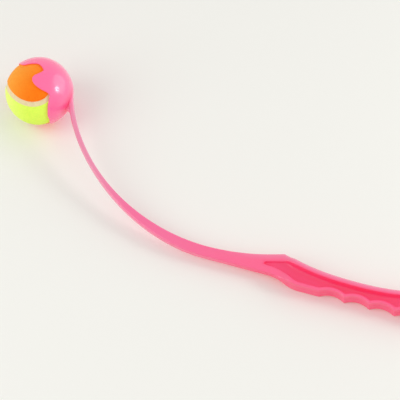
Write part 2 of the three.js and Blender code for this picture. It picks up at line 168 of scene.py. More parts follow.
class HandleSizes(bpy.types.PropertyGroup):
    """Sizes of the handle."""

    corner_x: length("Corner X", "Front corner of the handle, along the swing plane's X", 316.5)
    corner_y: length("Corner Y", "Front corner of the handle, along the swing plane's Y", -42.7)
    angle: angle("Angle", "Direction of the handle in the swing plane", 16.6)
    height: length("Height", "Height across the swing plane", 17)
    edge_radius: length("Edge radius", "Rounding of the long edges on the finger side", 1.2)
    back_edge_radius: length("Back edge radius", "Rounding of the long edges at the back", 4.2)
    back_swell: length("Back swell", "How far the back swells to make up for that", 0.8)
    growth_setback: length("Growth setback", "Where the neck starts to grow to that height", 7.4)
    growth_length: length("Growth length", "Along which it does so", 13.1)
    neck_length: length("Neck length", "From the arm's end to the front corner", 79.3)
    neck_width: length("Neck width", "Width where the arm ends", 10.6)
    neck_rise: length("Neck rise", "How far the neck lies back from the finger side", 6)
    rise_setback: length("Rise setback", "Where the finger side leaves the neck", 18)
    rise_length: length("Rise length", "Along which it does so", 32)
    shoulder_setback: length("Shoulder setback", "Place of the back's shoulder", 7.7)
    shoulder_width: length("Shoulder width", "Width at the shoulder", 28.7)
    shoulder_power: share("Shoulder power", "How late the back swings out to the shoulder", 1.9)
    grip_start: length("Grip start", "Place of the first finger groove", 34)
    grip_pitch: length("Grip pitch", "From one finger groove to the next", 23.9)
    grip_depth: length("Grip depth", "Depth of a finger groove", 3.8)
    grip_count: count("Grip count", "Number of finger grooves", 4)
    cusp_radius: length("Cusp radius", "Rounding of the cusps between the grooves", 0.5)
    waist_width: length("Waist width", "Width at the waist", 18.3)
    waist_place: length("Waist place", "Place of the waist", 69.4)
    back_radius: length("Back radius", "Hollow of the back", 241)
    tail_length: length("Tail length", "From the last groove to the end", 16)
    tail_round_length: length("Tail round length", "Along which the tail rounds off", 12)
    tail_round_power: share("Tail round power", "How square the tail stays", 2.6)
    # Painted shade on the handle's thick side
    side_painted_shade: share("Side deep", "How strongly the deeper colour shows on the handle's thick side", 0.65)
    # Painted reflection along the handle's rounded back edge
    back_painted_reflection: share("Back pale", "How strongly the paler colour shows at the handle's back edge", 0.7)
    parting_ridge: length("Parting ridge", "Height of the fine line where the mould halves met", 0.06)


class PocketSizes(bpy.types.PropertyGroup):
    """Sizes of the pockets in the handle's sides."""

    rim: length("Rim", "Wall along the grooves", 2.6)
    back_rim: length("Back rim", "Wall along the handle's back", 5)
    fore_rim: length("Fore rim", "Wall on the finger side of the tip", 7)
    web: length("Web", "Wall between the two pockets", 2.6)
    tip_setback: length("Tip setback", "Place of a pocket's blunt tip", 24)
    tip_width: length("Tip width", "Width of the tip", 2.6)
    shoulder_setback: length("Shoulder setback", "Where the back wall's straight part ends", 2.6)
    narrowing_setback: length("Narrowing setback", "Where the fore rim starts to narrow", 8)
    narrowing_length: length("Narrowing length", "Along which it does so", 22)
    tail_pad: length("Tail pad", "Solid end behind the pockets", 11)
    corner_radius: length("Corner radius", "Rounding of the corners at the tail", 3)
    edge_radius: length("Edge radius", "Rounding of a pocket's upper edge", 0.7)
    floor_radius: length("Floor radius", "Fillet between a pocket's wall and floor", 3.2)
    draft: length("Draft", "How far a pocket narrows towards its floor", 0.12)
    # Painted shade that spills a little over a pocket's rim
    bleed: length("Bleed", "How far a pocket's deeper colour shows beside it", 2.4)
    bleed_share: share("Bleed share", "How strongly it does so", 0.5)


class Colours(bpy.types.PropertyGroup):
    """Colours as they look on a display in even light."""

    # Painted light and shade: one moulding's colour, made different at the cup, along the arm and along the grip
    plastic: colour("Plastic", "The launcher along its arm", 194, 94, 152)
    plastic_cup: colour("Plastic at the cup", "The launcher round the ball", 208, 96, 160)
    # Painted reflection: a paler colour for the backdrop's sheen on the arm's thin start and the handle's rounded
    # back edge
    plastic_painted_reflection: colour(
        "Plastic where thin", "The arm's start and the handle's back edge, which let light in", 178, 132, 170)
    plastic_grip_painted_shade: colour("Plastic at the grip", "The launcher along its handle", 206, 78, 136)
    # Painted shade: a deeper red in the pockets, on the handle's thick side and in the corner of cup and web
    plastic_painted_shade: colour("Plastic in hollows", "Where light bounces from plastic to plastic", 196, 62, 122)
    # Painted glow: a constant red emission that lifts the plastic's shaded parts and tints the floor beside it
    plastic_painted_glow: colour("Plastic glow", "Light that the fluorescent dye gives off", 168, 18, 10)
    orange: colour("Orange felt", "Upper felt panel", 253, 168, 56)
    # Painted shade: the felt's deeper colours by the cup
    orange_painted_shade: colour("Orange felt by the cup", "The same where it is pressed by the claws", 252, 124, 16)
    yellow: colour("Yellow felt", "Lower felt panel", 240, 254, 138)
    yellow_painted_shade: colour("Yellow felt by the cup", "The same where it is pressed by the claws", 224, 254, 92)
    # Painted glow: the felt gives off a little light in its own colour
    felt_painted_glow: share("Felt glow", "Light that the felt's dye gives off, as a share of its colour", 0.13)
    cement: colour("Cement", "Seam between the felt panels", 246, 226, 178)
    rubber: colour("Rubber", "Core under the felt", 85, 82, 78)
    ground: colour("Ground", "Floor and background", 245, 245, 240)


class LauncherSettings(bpy.types.PropertyGroup):
    """Everything that a user may change."""

    ball: PointerProperty(type=BallSizes)
    cup: PointerProperty(type=CupSizes)
    arm: PointerProperty(type=ArmSizes)
    handle: PointerProperty(type=HandleSizes)
    pocket: PointerProperty(type=PocketSizes)
    colours: PointerProperty(type=Colours)


# Plain sums
def mix(low, high, part):
    return low + (high - low) * part


def smooth(part):
    part = min(1, max(0, part))
    return part * part * (3 - 2 * part)


def soft_larger(first, second, width):
    """The larger of two values, with the corner between them rounded."""
    return (first + second + math.sqrt((first - second) ** 2 + width ** 2)) / 2


def steps(start, end, number):
    """Even places from start up to, but not including, end."""
    return [mix(start, end, index / number) for index in range(number)]


def arc(middle, radius, start, end, number):
    """Points of an arc, without its last one. Angles are in quarter turns."""
    turns = [part * math.pi / 2 for part in steps(start, end, number)]
    return [(middle[0] + radius * math.cos(turn), middle[1] + radius * math.sin(turn)) for turn in turns]


def run(start, end, number):
    """Points of a straight line, without its last one."""
    return [(mix(start[0], end[0], part), mix(start[1], end[1], part)) for part in steps(0, 1, number)]


# The launcher's own directions, from the frame
SEAM_DIGITS = 6  # the seam's corners are told apart to the micrometre
GROOVE_REACH = 0.75  # how far from its middle a finger groove shapes the edge, in pitches


def ball_middle():
    """The seam is alike on every side of the ball, so the mean of its corners is the ball's middle."""
    vertices = frame["nodes"]["ball_seam"].data.vertices
    corners = {tuple(round(place, SEAM_DIGITS) for place in vertex.co) for vertex in vertices}
    return sum((Vector(corner) for corner in corners), Vector()) / len(corners)


def swing_matrix(cup):
    """Turns the swing plane's directions into the frame's, and moves the origin to the ball's middle."""
    release = next(joint for joint in frame["joints"] if joint["name"] == "ball_release")
    rest = next(mount for mount in frame["record"]["mounts"] if mount["name"] == "side_rest")
    across = -Vector(rest["axis"]).normalized()
    mouth = Vector(release["axis"])
    mouth = (mouth - across * mouth.dot(across)).normalized()
    forward = Matrix.Rotation(-cup.mouth_angle, 3, across) @ mouth
    turn = Matrix((forward, across.cross(forward), across)).transposed()
    return Matrix.Translation(ball_middle()) @ turn.to_4x4()


class Outline:
    """The outline of the arm and the handle in the swing plane.

    The handle has directions of its own: u runs along it from its front corner, v to its back.
    """

    def __init__(self, settings):
        self.ball, self.cup = settings.ball, settings.cup
        self.arm, self.handle, self.pocket = settings.arm, settings.handle, settings.pocket
        handle = self.handle
        self.cup_inner = self.ball.radius + self.cup.clearance
        self.cup_outer = self.cup_inner + self.cup.wall
        self.grip_end = handle.grip_start + handle.grip_pitch * handle.grip_count
        self.tail_end = self.grip_end + handle.tail_length
        self.pocket_end = self.tail_end - self.pocket.tail_pad
        self.groove_radius = handle.grip_pitch ** 2 / (8 * handle.grip_depth) + handle.grip_depth / 2
        self.shoulder_drop = self.waist_arc(-handle.shoulder_setback, 0) - handle.shoulder_width
        self.controls = self.arm_controls()

    def handle_point(self, u, v):
        c, s = math.cos(self.handle.angle), math.sin(self.handle.angle)
        return Vector((self.handle.corner_x + u * c - v * s, self.handle.corner_y + u * s + v * c, 0))

    def waist_arc(self, u, inset):
        handle = self.handle
        hollow = math.sqrt((handle.back_radius + inset) ** 2 - (u - handle.waist_place) ** 2)
        return handle.waist_width + handle.back_radius - hollow

    def back_edge(self, u, inset):
        handle = self.handle
        if u > -handle.shoulder_setback:
            fall = self.shoulder_drop * smooth((handle.waist_place - u) / handle.waist_place)
            return self.waist_arc(u, inset) - fall
        part = (u + handle.neck_length) / (handle.neck_length - handle.shoulder_setback)
        return mix(handle.neck_rise + handle.neck_width, handle.shoulder_width, part ** handle.shoulder_power)

    def finger_edge(self, u, inset):
        """The rise out of the neck and a flat fore grip, then the grooves between their cusps."""
        handle = self.handle
        radius = self.groove_radius + inset
        base = handle.grip_depth - self.groove_radius
        flat = base + math.sqrt(radius ** 2 - (handle.grip_pitch / 2) ** 2)
        edge = flat + handle.neck_rise * (1 - smooth((u + handle.rise_setback) / handle.rise_length))
        for groove in range(handle.grip_count):
            off = u - handle.grip_start - handle.grip_pitch * (groove + 0.5)
            if abs(off) < handle.grip_pitch * GROOVE_REACH:
                edge = soft_larger(edge, base + math.sqrt(radius ** 2 - off ** 2), handle.cusp_radius)
        return edge

    def tail_share(self, u):
        """How much of its width the tail keeps at a place along its rounding."""
        handle = self.handle
        along = max(0, (u - self.tail_end + handle.tail_round_length) / handle.tail_round_length)
        return (1 - min(1, along) ** handle.tail_round_power) ** (1 / handle.tail_round_power)

    def arm_controls(self):
        """Control points of the arm's centreline, from the back of the cup to the neck."""
        arm, handle = self.arm, self.handle
        outward = Vector((-math.sin(arm.start_angle), math.cos(arm.start_angle), 0))
        along = Vector((math.cos(arm.start_angle), math.sin(arm.start_angle), 0))
        start = outward * (self.cup_outer - arm.back_set - arm.thickness / 2)
        end = self.handle_point(-handle.neck_length, handle.neck_rise + handle.neck_width / 2)
        back = Vector((math.cos(handle.angle), math.sin(handle.angle), 0))
        return start, start + along * arm.start_reach, end - back * arm.end_reach, end

    def arm_point(self, part):
        a, b, c, d = self.controls
        rest = 1 - part
        return a * rest ** 3 + b * 3 * rest ** 2 * part + c * 3 * rest * part ** 2 + d * part ** 3

    def arm_direction(self, part):
        a, b, c, d = self.controls
        rest = 1 - part
        return ((b - a) * rest ** 2 + (c - b) * 2 * rest * part + (d - c) * part ** 2).normalized()

    def on_handle(self, point):
        """Where a point lies along the handle and across it."""
        handle = self.handle
        c, s = math.cos(handle.angle), math.sin(handle.angle)
        x, y = point.x - handle.corner_x, point.y - handle.corner_y
        return x * c + y * s, y * c - x * s

    def back_share(self, u):
        """How far the back has grown from the arm's plain edge to the handle's full one."""
        handle = self.handle
        return smooth((u + handle.neck_length) / (handle.neck_length - handle.shoulder_setback))

    def height_at(self, u):
        handle = self.handle
        return mix(self.arm.height, handle.height, smooth((u + handle.growth_setback) / handle.growth_length))

    def pocket_walls(self, u):
        """The pocket's finger wall and back wall, which start at its blunt tip."""
        pocket = self.pocket
        spread = smooth((u + pocket.narrowing_setback) / pocket.narrowing_length)
        thicker = pocket.fore_rim - pocket.rim
        finger = self.finger_edge(u, pocket.rim) + thicker * (1 - spread)
        if u > -pocket.shoulder_setback:
            return finger, self.back_edge(u, pocket.back_rim)
        tip = self.finger_edge(-pocket.tip_setback, pocket.rim) + thicker + pocket.tip_width
        shoulder = self.back_edge(-pocket.shoulder_setback, pocket.back_rim)
        part = (u + pocket.tip_setback) / (pocket.tip_setback - pocket.shoulder_setback)
        return finger, mix(tip, shoulder, part)


# Sections of the arm and handle
CORNER_STEPS = 5
WALL_STEPS = 3
TOP_STEPS = 4
POCKET_STEPS = 3
RIDGE_SPREAD = 0.3 * MM
EDGE_OF_HALF, EDGE_OF_HEIGHT = 0.8, 0.4  # the largest rounding of a section's edges
FILLET_OF_HALF = 0.8  # the largest fillet on a pocket's floor


class Section:
    """One cut across the arm or the handle: its middle, its half width, its height and its pockets."""

    def __init__(self, middle, outward, half, height, edges, ridge):
        self.middle, self.outward, self.half, self.height = middle, outward, half, height
        largest = min(EDGE_OF_HALF * half, EDGE_OF_HEIGHT * height)
        self.back_edge, self.edge = (min(edge, largest) for edge in edges)
        self.ridge = min(ridge, half / 4)
        self.back = self.finger = self.depth = self.lip = self.fillet = self.draft = 0

    def open_pocket(self, finger, back, depth, pocket):
        """Sinks a pocket in each side, with rounded edges, drafted walls and a filleted floor."""
        half = (back - finger) / 2
        self.back, self.finger, self.depth = back, finger, depth
        self.lip = min(pocket.edge_radius, depth / 3)
        self.draft = min(pocket.draft, half / 3)
        self.fillet = min(pocket.floor_radius, (half - self.draft) * FILLET_OF_HALF, depth / 2)

    def upper_half(self):
        """From the middle of the back, over the upper side and through its pocket, to the finger side."""
        half, top, lip, fillet = self.half, self.height / 2, self.lip, self.fillet
        edge, back_edge = self.edge, self.back_edge
        foot = min(RIDGE_SPREAD, (top - max(edge, back_edge)) / 2)
        floor = top - self.depth
        back, finger = self.back - self.draft - fillet, self.finger + self.draft + fillet
        return [
            (half + self.ridge, 0),
            *run((half, foot), (half, top - back_edge), WALL_STEPS),
            *arc((half - back_edge, top - back_edge), back_edge, 0, 1, CORNER_STEPS),
            *run((half - back_edge, top), (self.back + lip, top), TOP_STEPS),
            *arc((self.back + lip, top - lip), lip, 1, 2, POCKET_STEPS),
            *run((self.back, top - lip), (back + fillet, floor + fillet), POCKET_STEPS),
            *arc((back, floor + fillet), fillet, 0, -1, POCKET_STEPS),
            *run((back, floor), (finger, floor), TOP_STEPS),
            *arc((finger, floor + fillet), fillet, 3, 2, POCKET_STEPS),
            *run((finger - fillet, floor + fillet), (self.finger, top - lip), POCKET_STEPS),
            *arc((self.finger - lip, top - lip), lip, 0, 1, POCKET_STEPS),
            *run((self.finger - lip, top), (edge - half, top), TOP_STEPS),
            *arc((edge - half, top - edge), edge, 1, 2, CORNER_STEPS),
            *run((-half, top - edge), (-half, foot), WALL_STEPS),
            (-half, foot),
            (-half - self.ridge, 0),
        ]

    def ring(self):
        """The whole section as points in the swing plane's directions."""
        upper = self.upper_half()
        lower = [(out, -rise) for out, rise in reversed(upper[1:-1])]
        return [self.middle + self.outward * out + Vector((0, 0, rise)) for out, rise in upper + lower]


ARM_STATIONS = 200
ROUND_STATIONS = 14
NECK_STATIONS = 36
TIP_STATIONS = 16
FORE_STATIONS = 28
GROOVE_STATIONS = 26
END_STATIONS = 4
TAIL_STATIONS = 22
POCKET_DEEPENING = 3  # the pocket reaches its full depth within this part of its tip
POCKET_END_NARROWING = 0.98  # of its corners' radius, by which the pocket's end wall is narrower
POCKET_CLEARANCE = 1.5  # the plain tail starts so many edge roundings behind the pocket
TAIL_TIP_SHARE = 0.0006  # how much of the tail's rounding is left off, so that it ends in a small flat


class Beam:
    """The arm and the handle as a row of sections, from inside the cup's wall to the tail."""

    def __init__(self, outline):
        self.outline = outline
        self.full_depth = (outline.handle.height - outline.pocket.web) / 2

    def arm_section(self, part):
        outline, arm, handle = self.outline, self.outline.arm, self.outline.handle
        taper = smooth((part - arm.taper_start) / (1 - arm.taper_start))
        along = outline.arm_direction(part)
        outward = Vector((-along.y, along.x, 0))
        half = mix(arm.thickness, handle.neck_width, taper) / 2
        edge = mix(arm.edge_radius, handle.edge_radius, taper)
        return Section(outline.arm_point(part), outward, half, arm.height, (edge, edge), handle.parting_ridge)

    def handle_section(self, u, depth=None, narrow=0):
        """A section at u. Where the pocket reaches, it has that depth, or its full one."""
        outline, handle, pocket = self.outline, self.outline.handle, self.outline.pocket
        grown = outline.back_share(u)
        finger, back = outline.finger_edge(u, 0), outline.back_edge(u, 0) + handle.back_swell * grown
        middle, half = (finger + back) / 2, (back - finger) / 2 * outline.tail_share(u)
        height = outline.height_at(u)
        left = max(0, min(handle.edge_radius, outline.tail_end - u))
        drop = handle.edge_radius - math.sqrt(handle.edge_radius ** 2 - (handle.edge_radius - left) ** 2)
        outward = Vector((-math.sin(handle.angle), math.cos(handle.angle), 0))
        place = outline.handle_point(u, middle)
        edges = (mix(handle.edge_radius, handle.back_edge_radius, grown), handle.edge_radius)
        section = Section(place, outward, half, height - 2 * drop, edges, handle.parting_ridge)
        low, high = outline.pocket_walls(max(u, -pocket.tip_setback))
        centre = (low + high) / 2 - middle
        if depth == 0:
            return section
        if u <= -pocket.tip_setback:
            part = (u + handle.neck_length) / (handle.neck_length - pocket.tip_setback)
            section.back = section.finger = centre * smooth(part)
            return section
        into = min(1, (u + pocket.tip_setback) / pocket.tip_width)
        width = (high - low) / 2 * math.sqrt(into * (2 - into)) - narrow
        if depth is None:
            depth = (height - pocket.web) / 2 * smooth(into * POCKET_DEEPENING)
        section.open_pocket(centre - width, centre + width, depth, pocket)
        return section

    def pocket_end_sections(self):
        """Sections through the pocket's rounded corners and up its end wall."""
        pocket, end = self.outline.pocket, self.outline.pocket_end
        radius, fillet, lip = pocket.corner_radius, pocket.floor_radius, pocket.edge_radius
        full = self.full_depth
        corner = end - radius
        sections = []
        for part in steps(0, 1, ROUND_STATIONS):
            along = radius * math.sin(part * math.pi / 2)
            reach = along - (radius - pocket.draft - fillet)
            rise = fillet - math.sqrt(fillet ** 2 - min(fillet, max(0, reach)) ** 2)
            narrow = radius - math.sqrt(radius ** 2 - along ** 2)
            sections.append(self.handle_section(corner + along, full - rise, narrow))
        for part in steps(0, 1, POCKET_STEPS):
            depth = mix(full - fillet, lip, part)
            place = end - pocket.draft * (1 - part)
            sections.append(self.handle_section(place, depth, radius * POCKET_END_NARROWING))
        for part in steps(0, 1, CORNER_STEPS):
            turn = part * math.pi / 2
            place = end + lip * (1 - math.cos(turn))
            sections.append(self.handle_section(place, lip * (1 - math.sin(turn)) + TOUCH, radius))
        return sections

    def sections(self):
        """Every section from the arm's hidden start to the tip of the tail."""
        outline, handle, pocket = self.outline, self.outline.handle, self.outline.pocket
        arm = [self.arm_section(part) for part in steps(0, 1, ARM_STATIONS)]
        tip, spread = -pocket.tip_setback, 2 * pocket.tip_width
        near_tip = [tip + spread * part ** 2 for part in steps(0, 1, TIP_STATIONS)]
        round_start = outline.tail_end - handle.tail_round_length
        corner = outline.pocket_end - pocket.corner_radius
        before = [
            *steps(-handle.neck_length, tip, NECK_STATIONS),
            *near_tip,
            *steps(tip + spread, handle.grip_start, FORE_STATIONS),
            *steps(handle.grip_start, outline.grip_end, GROOVE_STATIONS * handle.grip_count),
            *steps(outline.grip_end, corner, END_STATIONS),
        ]
        places = [round_start + handle.tail_round_length * math.sin(part * math.pi / 2)
                  for part in steps(0, 1, TAIL_STATIONS)]
        last = outline.tail_end - handle.tail_round_length * TAIL_TIP_SHARE
        clear = outline.pocket_end + pocket.edge_radius * POCKET_CLEARANCE
        behind = [u for u in places if u > clear] + [last]
        return [
            *arm,
            *(self.handle_section(u) for u in before),
            *self.pocket_end_sections(),
            *(self.handle_section(u, 0) for u in behind),
        ]

    def settle(self, point):
        """Flares the arm where it meets the cup, and keeps its hidden start inside the cup's wall."""
        outline, arm = self.outline, self.outline.arm
        over = (point.length - outline.cup_outer) / arm.flare_height
        if over < 1:
            spread = arm.flare * (1 - max(0, over)) ** 2 * min(1, abs(point.z) / (arm.height / 4))
            point = point + Vector((0, 0, math.copysign(spread, point.z)))
        inner = outline.cup_inner + outline.cup.wall / 4
        return point if point.length > inner else point * (inner / point.length)


# Mesh helpers
SHARP_ANGLE = math.radians(32)


def new_piece(name, bm, material=None):
    """An object of a finished mesh, with smooth faces and its sharper edges kept."""
    mesh = bpy.data.meshes.new(name)
    bm.to_mesh(mesh)
    bm.free()
    mesh.shade_smooth()
    mesh.set_sharp_from_angle(angle=SHARP_ANGLE)
    if material is not None:
        mesh.materials.append(material)
    piece = bpy.data.objects.new(name, mesh)
    bpy.context.scene.collection.objects.link(piece)
    return piece


def close_up(bm):
    """Merges what coincides and turns every face outwards."""
    bmesh.ops.remove_doubles(bm, verts=bm.verts, dist=TOUCH)
    bmesh.ops.dissolve_degenerate(bm, edges=bm.edges, dist=TOUCH)
    bmesh.ops.recalc_face_normals(bm, faces=bm.faces)


def spin_line(bm, line, number):
    """Joins vertices in a row and spins the row a full turn about Z."""
    edges = [bm.edges.new(pair) for pair in zip(line, line[1:])]
    bmesh.ops.spin(bm, geom=line + edges, cent=(0, 0, 0), axis=(0, 0, 1), dvec=(0, 0, 0),
                   angle=FULL_TURN, steps=number, use_merge=True)


# Shares of the plastic's painted shade, a deeper colour, and painted reflection, a paler one, over the moulding
PAINTED_LIGHT_MARK = "hollow"  # the moulding's attribute: over 0 the colour is deeper, painted shade; under 0 it is paler, painted reflection
PAINTED_REFLECTION_REACH = 1.5  # how far the painted reflection, a paler colour, comes in from the handle's back, in back rims
CORNER_STATIONS = 6
CORNER_START = 0.1  # where along the web the corner's painted shade starts
CORNER_INSET = 0.93  # how far its middle line lies from the ball's middle, as a share of the arm's
CORNER_START_REACH = 0.6  # how far the shade reaches where the corner starts, as a share of its most
CORNER_FULLNESS = 1.3  # over 1, the middle of the corner has the full painted shade
ARM_SAMPLES = 24


def pocket_shade_share(outline, point):
    """Painted shade of a pocket: 1 on its floor and 0 outside it, rising down its walls, with a faint bleed over
    its rim.
    """
    pocket = outline.pocket
    u, v = outline.on_handle(point)
    if not -pocket.tip_setback - pocket.bleed < u < outline.pocket_end + pocket.bleed:
        return 0
    finger, back = outline.pocket_walls(max(u, -pocket.tip_setback))
    outside = max(finger - v, v - back, -pocket.tip_setback - u, u - outline.pocket_end, 0)
    under = outline.height_at(u) / 2 - abs(point.z)
    if outside > pocket.bleed or outside > pocket.edge_radius and under > 2 * pocket.edge_radius:
        return 0
    depth = (outline.height_at(u) - pocket.web) / 2
    near = smooth(1 - outside / pocket.bleed) * smooth(1 - under / (2 * pocket.edge_radius))
    wall = smooth((under - pocket.edge_radius) / (depth - pocket.edge_radius))
    return max(pocket.bleed_share * near, wall)


def side_shade_share(outline, point):
    """Painted shade on the handle's thick side: how deep it looks, most halfway down it."""
    u, _ = outline.on_handle(point)
    half = outline.height_at(u) / 2
    return outline.handle.side_painted_shade * outline.back_share(u) * smooth(2 * (half - abs(point.z)) / half)


def painted_reflection_share(outline, point):
    """How pale the handle's back edge is painted: a painted reflection where its rounding catches the light."""
    u, v = outline.on_handle(point)
    grown = outline.back_share(u)
    if grown == 0:
        return 0
    inside = (outline.back_edge(u, 0) - v) / (PAINTED_REFLECTION_REACH * outline.pocket.back_rim)
    return outline.handle.back_painted_reflection * grown * smooth(1 - inside)


def web_shade_share(outline, point):
    """How deep the painted shade in the corner of the cup and the arm is: most along its middle, and not on the
    arm.
    """
    arm = outline.arm
    beside = max(abs(point.z) - arm.height / 2, 0)
    deep = 0
    for part in steps(CORNER_START, 1, CORNER_STATIONS):
        off = point.xy - outline.arm_point(part * arm.web_end).xy * CORNER_INSET
        reach = arm.web_shade * mix(CORNER_START_REACH, 1, part)
        near = 1 - math.hypot(*off, beside) / reach
        deep = max(deep, arm.web_painted_shade * smooth(CORNER_FULLNESS * near))
    if deep == 0 or beside > arm.edge_radius / 4:
        return deep
    along = steps(0, 2 * arm.web_end, ARM_SAMPLES)
    aside = min((point.xy - outline.arm_point(part).xy).length for part in along)
    return deep * smooth(2 * aside / arm.thickness - 1)


def mark_painted_light(bm, outline):
    """Gives every vertex its share of painted shade, a deeper colour, less its share of painted reflection, a
    paler one.
    """
    share_of = bm.verts.layers.float.new(PAINTED_LIGHT_MARK)
    for vertex in bm.verts:
        deep = max(find(outline, vertex.co) for find in (pocket_shade_share, side_shade_share, web_shade_share))
        vertex[share_of] = deep - painted_reflection_share(outline, vertex.co)


def beam_mesh(beam):
    """A grid rolled up round the sections of the arm and the handle, and closed at both ends."""
    rings = [[beam.settle(point) for point in section.ring()] for section in beam.sections()]
    hidden = beam.outline.cup_outer - beam.outline.cup.wall / 4
    # The first ring closes the beam, so it stays inside the cup's wall
    rings[0] = [point * min(1, hidden / point.length) for point in rings[0]]
    number, last = len(rings[0]), len(rings) - 1
    bm = bmesh.new()
    bmesh.ops.create_grid(bm, x_segments=number, y_segments=last, size=0.5)
    for vertex in bm.verts:
        ring = rings[round((vertex.co.y + 0.5) * last)]
        vertex.co = ring[round((vertex.co.x + 0.5) * number) % number]
    close_up(bm)
    bmesh.ops.holes_fill(bm, edges=[edge for edge in bm.edges if edge.is_boundary], sides=0)
    bmesh.ops.recalc_face_normals(bm, faces=bm.faces)
    return bm


# Rim of the claws over half a turn, from the far side to the arm's side. Each pair is a share of
# the half turn and how far the edge passes the ball's middle, as a share of the notch angle.
CLAW_EDGE_SHARES = (
    (0, 0.43), (0.1, 0.43), (0.2, 0.43), (0.27, 0.38), (0.315, 0.2), (0.336, -0.15), (0.358, -0.55),
    (0.385, -0.9), (0.44, -1.02), (0.482, -0.98), (0.496, -0.75), (0.5, -0.4), (0.503, -0.05),
    (0.52, 0.2), (0.555, 0.29), (0.6, 0.21), (0.65, -0.03), (0.7, -0.37), (0.735, -0.47),
    (0.765, -0.3), (0.81, -0.03), (0.87, 0.19), (0.935, 0.33), (1, 0.3),
)
CUP_STEPS = 360
EDGE_SAMPLES = 24
OUTER_ROWS = 34
INNER_ROWS = 26
CUP_BACK = math.radians(80)
ROW_SPLIT = 0.001  # keeps the nose's rows apart while the wall's cut is spun
LEVEL_SHARE = 0.05  # below this rise, a step away from the rim counts as level
CLAW_PULL = 3  # power by which the rows of the wall turn from even ones to the claws' edge


